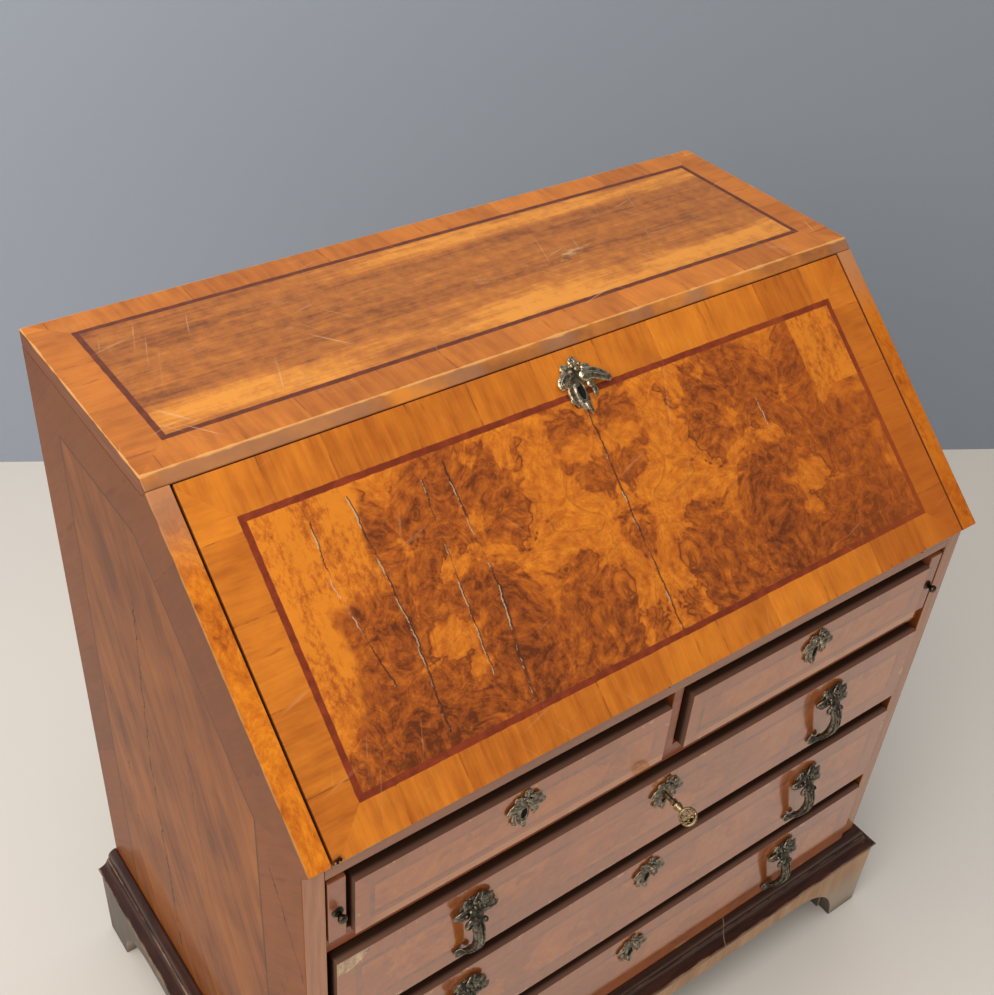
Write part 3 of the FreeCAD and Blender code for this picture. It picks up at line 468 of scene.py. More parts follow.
def side_finish():
    """Slanting grain in a thin line and a border; burr on the slope's edge, plain wood on the stile."""
    finish = Finish("side_veneer")
    facing_x, _, facing_z = finish.facing()
    _, along, out = finish.slope()
    reach_slope = FALL_THICKNESS - out
    back_border, border_width = 0.075, 0.088
    spared = border_width - back_border
    reach_rest = finish.least(finish.y - FRONT, BACK - finish.y + spared, TOP - finish.z)
    inward = finish.least(reach_rest, reach_slope)
    on_slope = reach_slope < reach_rest
    run = on_slope * along + (1 - on_slope) * (finish.z + finish.y)
    turn = math.radians(24)
    grain_u = finish.z * math.cos(turn) + finish.y * math.sin(turn)
    grain_v = finish.y * math.cos(turn) - finish.z * math.sin(turn)
    bent = finish.drifted(finish.vector(grain_u * 0.4, grain_v * 3), 3, 0.2)
    fibre = finish.noise(finish.stretched(bent, (7, 14, 1)), 2.6, 4, 0.65)
    grain = finish.noise(bent, 11, 4, 0.6) * 0.6 + fibre * 0.4
    cloud = finish.noise(finish.place, 9, 4, 0.6)
    field = finish.ramp(
        grain * 0.6 + cloud * 0.4, (0.37, (0.13, 0.033, 0.007)), (0.50, (0.25, 0.072, 0.012)),
        (0.63, (0.36, 0.112, 0.019)),
    )
    border = band_colour(finish, run, inward, (0.15, 0.040, 0.008), (0.28, 0.078, 0.014), 0.19)
    edge = 0.0004
    colour = finish.mix(finish.step(inward, border_width - edge, border_width + edge), border, field)
    flecks = finish.patches(0.66, 0.74, finish.stretched(bent, (34, 44, 1)), 2.4)
    fleck_dark, line_dark = (0.06, 0.018, 0.007), (0.055, 0.022, 0.012)
    colour = finish.mix(flecks * 0.45, colour, fleck_dark)
    line = finish.near(inward, border_width, 0.0010, 0.0022)
    colour = finish.mix(line * 0.75, colour, line_dark)
    cracks = crack_lines(finish, finish.y, finish.z, 0.02, (
        ((0.086, 0.822), (0.105, 0.560), 0.0019),
        ((0.105, 0.560), (0.090, 0.205), 0.0021),
        ((-0.01, 0.66), (-0.03, 0.45), 0.0009),
        ((-0.19, 0.70), (-0.25, 0.58), 0.0012),
        ((-0.20, 0.52), (-0.25, 0.40), 0.0010),
        ((0.19, 0.60), (0.18, 0.36), 0.0009),
    ))
    broken = finish.patches(0.36, 0.5, finish.place, 30)
    colour = finish.mix(cracks * broken * 0.85, colour, GAP_DARK)
    # Painted shade: the side grows darker towards its top.
    upper_painted_shade = (0.12, 0.034, 0.006)
    colour = finish.mix(finish.step(finish.z, 0.65, 0.95) * 0.3, colour, upper_painted_shade)
    edge_face = finish.under(abs(facing_x), 0.4, 0.5)
    # The plain wood of the stile carries a painted sheen, paler in green and blue than the wood.
    upright = finish.noise(finish.vector(finish.x * 40, finish.z * 3), 4, 4)
    plain = finish.ramp(upright, (0.3, (0.38, 0.140, 0.060)), (0.7, (0.52, 0.215, 0.095)))
    # Painted shade on the right side, away from the light: a darker, greyer stile and redder burr.
    on_right = finish.step(finish.x, 0.0, 0.1)
    right_shade_grey, right_shade_red, painted_sheen = (0.26, 0.115, 0.060), (0.36, 0.075, 0.005), (0.42, 0.20, 0.10)
    plain = finish.mix(on_right * 0.25, plain, right_shade_grey)
    burr = burr_colour(finish, finish.x * 1.3, along * 0.8, 0.14)
    burr = finish.mix(on_right * 0.45, burr, right_shade_red)
    # Painted reflection: the burr of the slope edge turns pale towards the top.
    painted_sheen_share = finish.step(along, 0.27, 0.36) * 0.75
    burr = finish.mix(painted_sheen_share, burr, painted_sheen)
    upward = finish.step(facing_z, 0.2, 0.5)
    colour = finish.mix(edge_face, colour, finish.mix(upward, plain, burr))
    stile = edge_face * (1 - upward)
    arris = finish.most(HALF - abs(finish.x), abs(reach_slope))
    ragged = finish.wander(0.004, finish.place, 45, 3)
    worn = finish.under(arris + ragged, 0.0004, 0.0016)
    worn_pale = (0.46, 0.24, 0.09)
    colour = finish.mix(worn * 0.6, colour, worn_pale)
    coat = 0.14
    polish(finish, coat, coat_roughness=0.1, roughness=0.5, sheen=0.1, coat_ior=1.5)
    finish.feed({"Base Color": colour, "Coat Weight": coat + stile * (1 - coat)})
    uneven(finish, cracks)
    return finish.material


def front_finish(drawer, inset, width):
    """A drawer front: faint burr, a grey string line and a crossbanded border; edges in painted shade."""
    node = f"{drawer}_front"
    low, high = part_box(node)
    centre = (low + high) / 2
    half = (high - low) / 2
    finish = Finish(f"{node}_veneer")
    u = finish.x - centre.x
    v = finish.z - centre.z
    burr = burr_colour(finish, finish.x * 0.7, finish.z * 0.7, 0.03)
    faded = (0.40, 0.105, 0.014)
    field = finish.mix(0.6, burr, faded)
    band = ((0.27, 0.064, 0.011), (0.46, 0.122, 0.018))
    string = (0.225, 0.064, 0.015)
    colour = framed(finish, u, v, half.x - inset, half.z - inset, width, field, band, string)
    blush = finish.patches(0.50, 0.62, finish.vector(u, v), 9, 3)
    blush_red = (0.46, 0.125, 0.03)
    colour = finish.mix(blush * 0.3, colour, blush_red)
    if drawer in SMALL_DRAWERS:
        strip = finish.near(v, 0.006 - half.z, 0.0045, 0.0055)
        strip = strip * finish.patches(0.38, 0.46, finish.vector(u, 0), 9)
        strip_pale = (0.62, 0.24, 0.06)
        colour = finish.mix(strip * 0.6, colour, strip_pale)
    if drawer == "upper_drawer":
        torn_width, torn_height, lean = 0.040, 0.023, 0.3
        from_left = u + half.x
        torn = finish.least(torn_width - from_left, v - half.z + torn_height - from_left * lean)
        splinters = finish.wander(0.03, finish.vector(u, v), 55, 3, 0.6)
        lost = finish.step(torn + splinters, -0.0008, 0.0008)
        raw_grain = finish.noise(finish.vector(u, v * 0.5), 80, 4, 0.7)
        raw = finish.ramp(
            raw_grain, (0.34, (0.12, 0.05, 0.02)), (0.46, (0.42, 0.23, 0.09)), (0.60, (0.70, 0.47, 0.23)),
        )
        colour = finish.mix(lost * 0.92, colour, raw)
    edge = finish.least(half.x - abs(u), half.z - abs(v))
    ragged = finish.wander(0.006, finish.place, 50, 3)
    worn = finish.under(edge + ragged, 0.0002, 0.0014)
    worn_pale, chip_pale, dent_dark = (0.40, 0.19, 0.08), (0.52, 0.28, 0.11), (0.06, 0.025, 0.015)
    colour = finish.mix(worn * 0.35, colour, worn_pale)
    chips = finish.patches(0.60, 0.64, finish.place, 38, 4, 0.7)
    chips = chips * finish.under(edge, 0.003, 0.009)
    colour = finish.mix(chips * 0.8, colour, chip_pale)
    dents = finish.patches(0.71, 0.76, finish.vector(u * 60, v * 150), 1, 3, 0.6)
    colour = finish.mix(dents * 0.6, colour, dent_dark)
    # Painted shade: the side faces of the front go from brown at the arris to near-black deeper into the
    # gaps.
    _, facing_y, _ = finish.facing()
    side_face = finish.under(-1 * facing_y, 0.45, 0.75)
    deep = finish.step(finish.y, low.y + 0.0035, low.y + 0.0100)
    edge_brown = (0.19, 0.098, 0.068)
    colour = finish.mix(side_face, colour, finish.mix(deep, edge_brown, EDGE_PAINTED_SHADE))
    core_grain = finish.noise(finish.vector(u * 2, v * 40), 4, 4)
    core = finish.ramp(core_grain, (0.3, (0.34, 0.20, 0.09)), (0.7, (0.50, 0.33, 0.17)))
    colour = finish.mix(finish.step(facing_y, 0.6, 0.9), colour, core)
    polish(finish, coat_roughness=0.09, roughness=0.4, coat_ior=1.85)
    finish.feed({"Base Color": colour, "Coat Weight": 1 - side_face})
    uneven(finish)
    return finish.material


def plain_finish(name, dark, light, stretch, roughness=0.55, coat=0.0):
    """Straight-grained wood; stretch is how tightly the grain varies along x, y and z."""
    finish = Finish(name)
    grain = finish.noise(finish.stretched(finish.drifted(finish.place, 4, 0.02), stretch), 1.0, 6, 0.62, 0.3)
    cloud = finish.noise(finish.place, 6, 2)
    colour = finish.ramp(grain * 0.75 + cloud * 0.25, (0.32, dark), (0.68, light))
    finish.feed({"Base Color": colour, "Normal": finish.bump(grain, 0.0006, 0.5)})
    polish(finish, coat, coat_roughness=0.18, roughness=roughness)
    return finish.material


def back_finish():
    """Plain back boards with long grain, each of its own tone, dusty and stained."""
    finish = Finish("back_wood")
    low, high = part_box("back_boards")
    tone = finish.chance((finish.z - low.z) / ((high.z - low.z) / BACK_BOARDS))
    bent = finish.drifted(finish.place, 3, 0.04)
    grain = finish.noise(finish.stretched(bent, (1.2, 1, 22)), 3, 5, 0.62)
    fibre = finish.noise(finish.stretched(finish.place, (6, 1, 240)), 2, 3)
    stain = finish.noise(finish.place, 4, 4, 0.6)
    shade = grain * 0.5 + fibre * 0.3 + tone * 0.1 + stain * 0.15
    colour = finish.ramp(
        shade, (0.36, (0.13, 0.072, 0.036)), (0.52, (0.26, 0.155, 0.08)), (0.66, (0.38, 0.245, 0.135)),
    )
    finish.feed({"Base Color": colour, "Normal": finish.bump(fibre, 0.0005, 0.5)})
    polish(finish, coat=0.0, coat_roughness=0.2, roughness=0.75, sheen=0.2)
    return finish.material


def moulding_finish():
    """Near-black polish, rubbed brown on the arrises; a painted highlight on the upper arris in front."""
    finish = Finish("dark_moulding")
    out = finish.most(abs(finish.x) - HALF, FRONT - finish.y)
    height = finish.z - MOULDING_BASE
    ragged = finish.wander(0.006, finish.place, 45, 4, 0.65)
    lower_out, lower_height = 0.030, 0.004
    upper_out, upper_height = 0.0145, 0.017
    lower_arris = abs(out - lower_out) + abs(height - lower_height) * 0.6
    upper_arris = abs(out - upper_out) + abs(height - upper_height)
    sides = finish.step(abs(finish.x), HALF - 0.02, HALF)
    # In front the upper arris gets a fainter pale line, a painted highlight along the ridge; at the sides it
    # is rubbed wear.
    rubbed = finish.under(upper_arris + ragged, 0.0004, 0.0018) * (0.3 + sides * 0.7)
    rubbed = finish.most(rubbed, finish.under(lower_arris + ragged, 0.0006, 0.0026))
    rubbed = rubbed * finish.patches(0.35, 0.6, finish.place, 14, 3)
    grain = finish.noise(finish.vector(finish.x * 4, finish.y * 4, finish.z * 60), 4, 4)
    colour = finish.ramp(grain, (0.3, (0.022, 0.007, 0.004)), (0.7, (0.065, 0.02, 0.010)))
    rubbed_and_highlight_tan, bare_brown, splice_tan = (0.38, 0.23, 0.14), (0.20, 0.09, 0.045), (0.30, 0.20, 0.13)
    colour = finish.mix(rubbed * 0.75, colour, rubbed_and_highlight_tan)
    bare = finish.patches(0.68, 0.73, finish.place, 23, 5, 0.7)
    colour = finish.mix(bare * 0.7, colour, bare_brown)
    splice_x, splice_lean = 0.1895, 0.47
    splice = finish.near(finish.x + out * splice_lean, splice_x, 0.0004, 0.0012)
    colour = finish.mix(splice * 0.7, colour, splice_tan)
    finish.feed({"Base Color": colour, "Normal": finish.bump(finish.noise(finish.place, 30, 4), 0.0012, 0.5)})
    polish(finish, coat=0.28, coat_roughness=0.14, roughness=0.4)
    return finish.material


def foot_finish():
    """Feet and aprons: tan in front, painted shade at the sides and under the moulding, darker by the floor.
    """
    finish = Finish("foot_wood")
    grain = finish.noise(finish.vector(finish.x * 26, finish.y * 26, finish.z * 4), 2, 5, 0.6)
    tan = finish.ramp(grain, (0.3, (0.36, 0.19, 0.09)), (0.7, (0.54, 0.32, 0.17)))
    low_down = finish.under(finish.z, 0.04, 0.11)
    floor_grey, under_moulding_shade, floor_dark = (0.40, 0.34, 0.28), (0.045, 0.015, 0.008), (0.06, 0.045, 0.035)
    tan = finish.mix(low_down * 0.75, tan, floor_grey)
    # Painted shade: the sides are a darker grey copy of the tan front.
    shaded_grey = finish.ramp(grain, (0.3, (0.065, 0.048, 0.034)), (0.7, (0.125, 0.094, 0.068)))
    _, facing_y, _ = finish.facing()
    colour = finish.mix(finish.step(-1 * facing_y, 0.5, 0.7), shaded_grey, tan)
    # Painted shadow: near-black at the head, under the overhang of the moulding.
    shadow_edge = MOULDING_BASE - 0.008
    moulding_shadow = finish.step(finish.z + (grain - 0.5) * 0.004, shadow_edge - 0.0005, shadow_edge + 0.0005)
    colour = finish.mix(moulding_shadow, colour, under_moulding_shade)
    # Darker in patches within 3 cm of the floor.
    floor_darkening = finish.under(finish.z, 0.0, 0.03) * finish.noise(finish.place, 30, 4)
    colour = finish.mix(floor_darkening, colour, floor_dark)
    finish.feed({"Base Color": colour, "Normal": finish.bump(grain, 0.0007, 0.5)})
    polish(finish, coat=0.15, coat_roughness=0.2, roughness=0.5, sheen=0.15)
    return finish.material


def metal_finish(name, deep, worn, bright):
    """Cast metal: dark in the hollows and rubbed bright on what stands out."""
    finish = Finish(name)
    raised = finish.node("ShaderNodeNewGeometry", output="Pointiness")
    patchy = finish.wander(0.12, finish.place, 210, 3, 0.6)
    rub = finish.step(raised + patchy, 0.49, bright)
    finish.feed({"Base Color": finish.mix(rub, deep, worn), "Metallic": 1.0, "Roughness": 0.5 - rub * 0.22})
    finish.feed({"Normal": finish.bump(finish.noise(finish.place, 380, 3), 0.0012, 0.8)})
    return finish.material


def put(name, data):
    """Adds an object to the scene."""
    thing = bpy.data.objects.new(name, data)
    bpy.context.scene.collection.objects.link(thing)
    return thing


def add_piece(name, bm, body, materials, replaced, smooth):
    """Makes an object of a bmesh, which stays where it is built, to stand for a node."""
    mesh = bpy.data.meshes.new(name)
    bm.to_mesh(mesh)
    bm.free()
    for face in mesh.polygons:
        face.use_smooth = True
    mesh.set_sharp_from_angle(angle=math.radians(smooth))
    for material in materials:
        mesh.materials.append(material)
    piece = put(name, mesh)
    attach(piece, body)
    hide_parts(replaced)
    return piece


def bevel(bm, edges, width):
    bmesh.ops.bevel(
        bm, geom=edges, offset=width, offset_type="OFFSET", segments=2, profile=0.5, affect="EDGES",
        material=-1, clamp_overlap=True,
    )


def eased(node, width, material, along=None):
    """A node's board again with its arrises eased, to stand for it; along eases only edges on that axis."""
    bm = bmesh.new()
    bm.from_mesh(frame["nodes"][node].data)
    bmesh.ops.remove_doubles(bm, verts=bm.verts, dist=1e-5)
    bmesh.ops.dissolve_limit(bm, angle_limit=math.radians(0.5), verts=bm.verts, edges=bm.edges)
    bm.normal_update()
    bend = math.radians(28)
    sharp = [edge for edge in bm.edges if edge.is_manifold and edge.calc_face_angle_signed() > bend]
    if along is not None:
        runs = [(edge, (edge.verts[1].co - edge.verts[0].co).normalized()) for edge in sharp]
        sharp = [edge for edge, run in runs if abs(run[along]) > 0.9]
    bevel(bm, sharp, width)
    low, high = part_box(node)
    for vert in bm.verts:
        vert.co = [min(max(place, least), most) for place, least, most in zip(vert.co, low, high)]
    bmesh.ops.recalc_face_normals(bm, faces=bm.faces)
    piece = add_piece(f"{node}_eased", bm, frame["nodes"][node]["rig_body"], [material], node, 60)
    flat = piece.modifiers.new("flat_faces", "WEIGHTED_NORMAL")
    flat.keep_sharp = True


def ring_edges(ring):
    """The edges between a ring's own points."""
    return list({edge for vert in ring for edge in vert.link_edges if edge.other_vert(vert) in ring})


def limb(bm, stations, sides=8):
    """A closed limb through stations of x, y, z, width and thickness; thickness lies towards +Z."""
    points = [Vector(station[:3]) for station in stations]
    ring = bmesh.ops.create_circle(bm, segments=sides, radius=0.5)["verts"]
    first = list(ring)
    placed = Matrix.Identity(4)
    for index, station in enumerate(stations):
        ahead = points[min(index + 1, len(points) - 1)] - points[max(index - 1, 0)]
        ahead.normalize()
        up = Vector((0, 0, 1)) - ahead * ahead.z
        up = up.normalized() if up.length > 0.05 else Vector((0, 1, 0))
        across = up.cross(ahead).normalized()
        turn = Matrix((across, ahead.cross(across), ahead)).transposed().to_4x4()
        target = Matrix.Translation(points[index]) @ turn @ Matrix.Diagonal((station[3], station[4], 1, 1))
        if index:
            made = bmesh.ops.extrude_edge_only(bm, edges=ring_edges(ring))["geom"]
            ring = [part for part in made if isinstance(part, bmesh.types.BMVert)]
        bmesh.ops.transform(bm, matrix=target @ placed.inverted(), verts=ring)
        placed = target
    for end in (first, ring):
        bmesh.ops.contextual_create(bm, geom=ring_edges(end))


def leaf(bm, stations):
    """A limb with a raised rib along its middle."""
    limb(bm, stations)
    limb(bm, [(x, y, z + thick * 0.45, wide * 0.17 + 0.6, thick * 0.4) for x, y, z, wide, thick in stations])


def curl(bm, centre, start, turn, radius, height, width, thickness):
    """A volute that winds in to its centre; angles in degrees."""
    steps = 9
    stations = []
    for step in range(steps):
        share = step / (steps - 1)
        angle = math.radians(start + turn * share)
        reach = radius * (1 - 0.78 * share)
        x = centre[0] + reach * math.cos(angle)
        y = centre[1] + reach * math.sin(angle)
        size = 1 - 0.35 * share
        stations.append((x, y, height, width * size, thickness * size))
    limb(bm, stations)


def bead(bm, x, y, z, radius, stretch=(1, 1, 1)):
    """A small ball, or a low mound where it is stretched."""
    place = Matrix.Translation((x, y, z)) @ Matrix.Diagonal((*stretch, 1))
    bmesh.ops.create_uvsphere(bm, u_segments=10, v_segments=7, radius=radius, matrix=place)


def settle(bm, matrix):
    """Turns a casting drawn in millimetres, +Y up and +Z out, into its place."""
    bmesh.ops.recalc_face_normals(bm, faces=bm.faces)
    bmesh.ops.scale(bm, vec=(0.001, 0.001, 0.001), verts=bm.verts)
    bmesh.ops.transform(bm, matrix=matrix, verts=bm.verts)


def rounded(piece):
    """Rounds a casting's forms off into each other."""
    modifier = piece.modifiers.new("rounding", "SUBSURF")
    modifier.levels = 2
    modifier.render_levels = 2


def on_drawer(x, z):
    """The place of a casting on the drawers' front plane."""
    return Matrix.Translation((x, DRAWER_FACE, z)) @ Matrix.Rotation(math.radians(90), 4, "X")


def oval(bm, half_x, half_y, centre_y, z):
    """An open oval ring at a height."""
    verts = bmesh.ops.create_circle(bm, segments=24, radius=1)["verts"]
    bmesh.ops.scale(bm, vec=(half_x, half_y, 1), verts=verts)
    bmesh.ops.translate(bm, vec=(0, centre_y, z), verts=verts)
    return verts


def keyhole_shield(bm, floor):
    """The domed plate round the keyhole, and the hole wall and floor in near-black painted shade."""
    foot = oval(bm, 8.5, 18, -3, 0.3)
    dome = oval(bm, 7, 15.5, -3, 3.2)
    rim = oval(bm, 3.4, 8.0, -1, 4.2)
    well = oval(bm, 2.9, 7.3, -1, 0.4)
    for lower, upper in ((foot, dome), (dome, rim)):
        bmesh.ops.bridge_loops(bm, edges=ring_edges(lower) + ring_edges(upper))
    shaded = bmesh.ops.bridge_loops(bm, edges=ring_edges(rim) + ring_edges(well))["faces"]
    if floor:
        shaded += bmesh.ops.contextual_create(bm, geom=ring_edges(well))["faces"]
    for face in shaded:
        face.material_index = 1


def draw_escutcheon(bm, floor=True, tip=25):
    """A leafy keyhole plate: a leaf out to its tip, flowers at the head, scrolls and a pointed foot."""
    keyhole_shield(bm, floor)
    bead(bm, 0, 14, 0.5, 1, (15, 12, 4))
    right = [(3, 10, 4, 11, 6), (10, 13, 6.5, 16, 6), (17, 12, 8, 14, 5.5)]
    leaf(bm, right + [(tip - 4, 21 - tip / 2, 7.5, 11, 4.5), (tip, 17 - tip / 2, 5.5, 6, 3)])
    leaf(bm, [(8, 18, 3.5, 9, 5), (14, 20, 5, 11, 5), (19, 18, 4, 6, 3)])
    limb(bm, [(8, 4, 4, 8, 5), (13, 2.5, 5.5, 10, 5), (17, 2, 4, 6, 3)])
    left = [(-5, 14, 4, 9, 6), (-11, 18, 5, 11, 6), (-17, 15, 5, 10, 5)]
    leaf(bm, left + [(-21, 10, 4, 8, 4.5), (-18, 4, 4, 6, 4)])
    leaf(bm, [(-3, 20, 4, 10, 5), (-9, 24, 4.5, 11, 5), (-14, 26, 2.5, 6, 3)])
    leaf(bm, [(2, 22, 4, 11, 5), (3, 29, 4.5, 13, 5), (3, 34, 2.5, 7, 3)])
    flowers = [(3, 27, 2.6), (-2, 24, 2.4), (7, 24, 2.4), (2, 20, 2.8)]
    flowers += [(-5, 19, 2.2), (8, 17, 2.2), (-1, 30, 2)]
    for x, y, size in flowers:
        bead(bm, x, y, 6.6, size)
    curl(bm, (-13, 9), 100, 330, 5.5, 5, 3.4, 3.4)
    left_edge = [(-12, 6, 4, 5, 5), (-15, -1, 4, 4.5, 5), (-13.5, -8, 4, 4.5, 5)]
    limb(bm, left_edge + [(-10.5, -13, 3, 4, 4), (-8.5, -16, 2, 2, 2)])
    right_edge = [(10, 3, 4, 5, 5), (13.5, -2, 4.2, 5, 5)]
    limb(bm, right_edge + [(14, -8, 3.5, 4.5, 4), (12.5, -11.5, 2, 2, 2)])
    limb(bm, [(0, -12, 3.5, 9, 5), (1, -19, 3.8, 7, 5), (2, -23, 3, 4.5, 4), (2.5, -26, 2, 2, 2)])
    curl(bm, (15, -5), 150, -300, 4.2, 4, 3, 3)
    curl(bm, (-13, -9), 60, 300, 4, 4, 3, 3)
    bead(bm, 1.5, -21.5, 3.6, 2.4)


def draw_pull(bm):
    """A leafy drawer pull: a broad crest on the drawer, a ribbed bow standing out, a leaf for its foot."""
    bead(bm, 9, 48, 1, 1, (20, 16, 6))
    right = [(8, 46, 5, 15, 7), (19, 44, 7, 20, 7), (28, 39, 6.5, 17, 6)]
    leaf(bm, right + [(35, 34, 4.5, 13, 4.5), (39, 31, 2, 7, 3)])
    leaf(bm, [(11, 50, 5, 15, 7), (20, 54, 7, 20, 7), (27, 55, 5.5, 15, 5), (32, 53, 2.5, 7, 3)])
    leaf(bm, [(8, 50, 5, 15, 7), (11, 58, 6.5, 19, 7), (15, 64, 4.5, 14, 5), (17, 68, 2, 7, 3)])
    leaf(bm, [(4, 48, 5, 14, 7), (0, 55, 6, 18, 6.5), (-2, 60, 4, 13, 5), (-3, 64, 2, 7, 3)])
    leaf(bm, [(3, 44, 5, 14, 7), (-7, 46, 6, 18, 6.5), (-14, 43, 4.5, 14, 5), (-18, 41, 2, 7, 3)])
    leaf(bm, [(1, 38, 4, 11, 6), (-5, 36, 4, 12, 5), (-10, 33, 2.2, 6, 3)])
    leaf(bm, [(13, 38, 6, 10, 5), (20, 34, 6, 12, 5), (24, 28, 3, 6, 3)])
    flowers = [(0, 50, 3), (5, 55, 2.8), (-5, 46, 2.6), (11, 52, 3)]
    flowers += [(17, 49, 2.8), (9, 61, 2.4), (22, 52, 2.2)]
    for x, y, size in flowers:
        bead(bm, x, y, 9, size)
    bow = [
        (9, 50, 7, 22, 9), (6, 44, 11, 20, 9), (4.5, 38, 15, 18, 9), (4, 31, 18.5, 16, 10),
        (4, 21, 20.5, 15, 11), (4, 9, 20, 14, 11), (3.5, -3, 17, 13, 10), (3, -13, 12.5, 12.5, 8),
        (1, -20, 8, 14, 6.5), (-3, -24, 5, 16, 5.5), (-9, -24, 3.4, 15, 4.5), (-14, -22, 2, 7, 3),
    ]
    limb(bm, bow, 10)
    for side in (-1, 0, 1):
        shift = side * 0.27
        limb(bm, [(x + shift * wide, y + 0.5, z + deep * 0.43, 2.6, 3) for x, y, z, wide, deep in bow[2:9]])
    curl(bm, (-6, 39), 20, 330, 7, 16, 5.5, 7)
    limb(bm, [(3, 43, 14, 9, 6), (-3, 45.5, 15.5, 7, 6), (-8, 45.5, 16, 5, 6)])
    limb(bm, [(7, 37, 15, 7, 6), (11, 35.5, 15, 5, 5), (14, 34.5, 15, 4, 4)])
    bead(bm, 15, 34, 15, 3.6)
    leaf(bm, [(-2, -23, 4, 10, 4.5), (-7, -29, 3.6, 10, 4), (-10, -32, 2, 6, 3)])
    leaf(bm, [(3, -20, 5, 8, 5), (6, -25, 3.6, 9, 4), (8, -29, 2, 6, 3)])


def make_hardware(pull_metal, plate_metal, fall_metal, shadow):
    """Keyhole plates and pulls; the drawers' plates stand out less than drawn and the fall's is larger."""
    flatter, larger, lowered = 0.55, 1.1, 0.004
    for drawer in SMALL_DRAWERS + LONG_DRAWERS:
        low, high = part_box(f"{drawer}_escutcheon")
        keyhole_x = (low.x + high.x) / 2
        keyhole_z = (low.z + high.z) / 2 - lowered
        bm = bmesh.new()
        draw_escutcheon(bm, drawer != "upper_drawer")
        settle(bm, on_drawer(keyhole_x, keyhole_z) @ Matrix.Diagonal((1, 1, flatter, 1)))
        name, metals = f"{drawer}_keyhole_plate", [plate_metal, shadow]
        rounded(add_piece(name, bm, drawer, metals, f"{drawer}_escutcheon", 180))

    across, along = 0.008, 0.3188
    foot = Vector((across, FRONT, BED_TOP)) + Vector((0, -math.sin(SLANT), math.cos(SLANT))) * FALL_THICKNESS
    keyhole = foot + Vector((0, math.cos(SLANT), math.sin(SLANT))) * along
    bm = bmesh.new()
    draw_escutcheon(bm, tip=36)
    settle(bm, Matrix.Translation(keyhole) @ Matrix.Rotation(SLANT, 4, "X") @ Matrix.Scale(larger, 4))
    metals = [fall_metal, shadow]
    rounded(add_piece("fall_keyhole_plate", bm, "fall", metals, "fall_escutcheon", 180))

    drop, places = 0.018, (-0.275, 0.268)
    for drawer in LONG_DRAWERS:
        low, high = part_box(f"{drawer}_front")
        height = (low.z + high.z) / 2 - drop
        pair = bmesh.new()
        for x in places:
            bm = bmesh.new()
            draw_pull(bm)
            settle(bm, on_drawer(x, height))
            casting = bpy.data.meshes.new("pull")
            bm.to_mesh(casting)
            bm.free()
            pair.from_mesh(casting)
            bpy.data.meshes.remove(casting)
        name = f"{drawer}_leafy_pulls"
        rounded(add_piece(name, pair, drawer, [pull_metal], f"{drawer}_pulls", 180))


def lathe(bm, profile, start, along, around):
    """Turns a profile of run and radius about the Y axis through start."""
    verts = [bm.verts.new(start + Vector((0, run * along, radius))) for run, radius in profile]
    edges = [bm.edges.new(pair) for pair in zip(verts, verts[1:])]
    bmesh.ops.spin(
        bm, geom=verts + edges, cent=start, axis=(0, 1, 0), angle=math.tau, steps=around, use_merge=True
    )


def sealed(bm):
    """Merges a turned piece's seams and points its faces outwards."""
    bmesh.ops.remove_doubles(bm, verts=bm.verts, dist=1e-6)
    bmesh.ops.recalc_face_normals(bm, faces=bm.faces)


def make_key(metal):
    """The key: openwork bow, turned collar, stem and bit."""
    low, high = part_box("drawer_key")
    bow_radius, wire = 0.0096, 0.0016
    margin = 0.0005
    centre = Vector((0, low.y + bow_radius + wire + margin, high.z - bow_radius - wire - margin))
    bm = bmesh.new()
    scroll, thin, reach = 0.0040, 0.0010, 0.0043
    rings = [(bow_radius, 0, 0, wire)]
    rings += [(scroll, reach * dy, reach * dz, thin) for dy, dz in ((0, 1), (0, -1), (1, 0), (-1, 0))]
    for radius, shift_y, shift_z, thick in rings:
        spot = centre + Vector((0, shift_y, shift_z))
        ring = bmesh.ops.create_circle(bm, segments=10, radius=thick)["verts"]
        bmesh.ops.translate(bm, vec=spot + Vector((0, radius, 0)), verts=ring)
        edges = ring_edges(ring)
        bmesh.ops.spin(bm, geom=edges, cent=spot, axis=(1, 0, 0), angle=math.tau, steps=36, use_merge=True)
    bow_turn = Matrix.Rotation(math.radians(52), 3, "Y")
    bmesh.ops.rotate(bm, cent=centre, matrix=bow_turn, verts=bm.verts)
    stem = [
        (0.0104, 0.0), (0.0105, 0.0034), (0.0160, 0.0050), (0.0185, 0.0056), (0.0200, 0.0036),
        (0.0215, 0.0036), (0.0230, 0.0050), (0.0250, 0.0050), (0.0265, 0.0030), (0.0660, 0.0030),
        (0.0664, 0.0),
    ]
    lathe(bm, stem, centre, 1, 20)
    bit = bmesh.ops.create_cube(bm, size=1)["verts"]
    bit_half, bit_length = 0.0012, 0.007
    bit_low = Vector((-bit_half, high.y - bit_length, low.z))
    bit_high = Vector((bit_half, high.y, centre.z))
    bmesh.ops.scale(bm, vec=bit_high - bit_low, verts=bit)
    bmesh.ops.translate(bm, vec=(bit_low + bit_high) / 2, verts=bit)
    sealed(bm)
    add_piece("openwork_key", bm, "drawer_key", [metal], "drawer_key", 40)


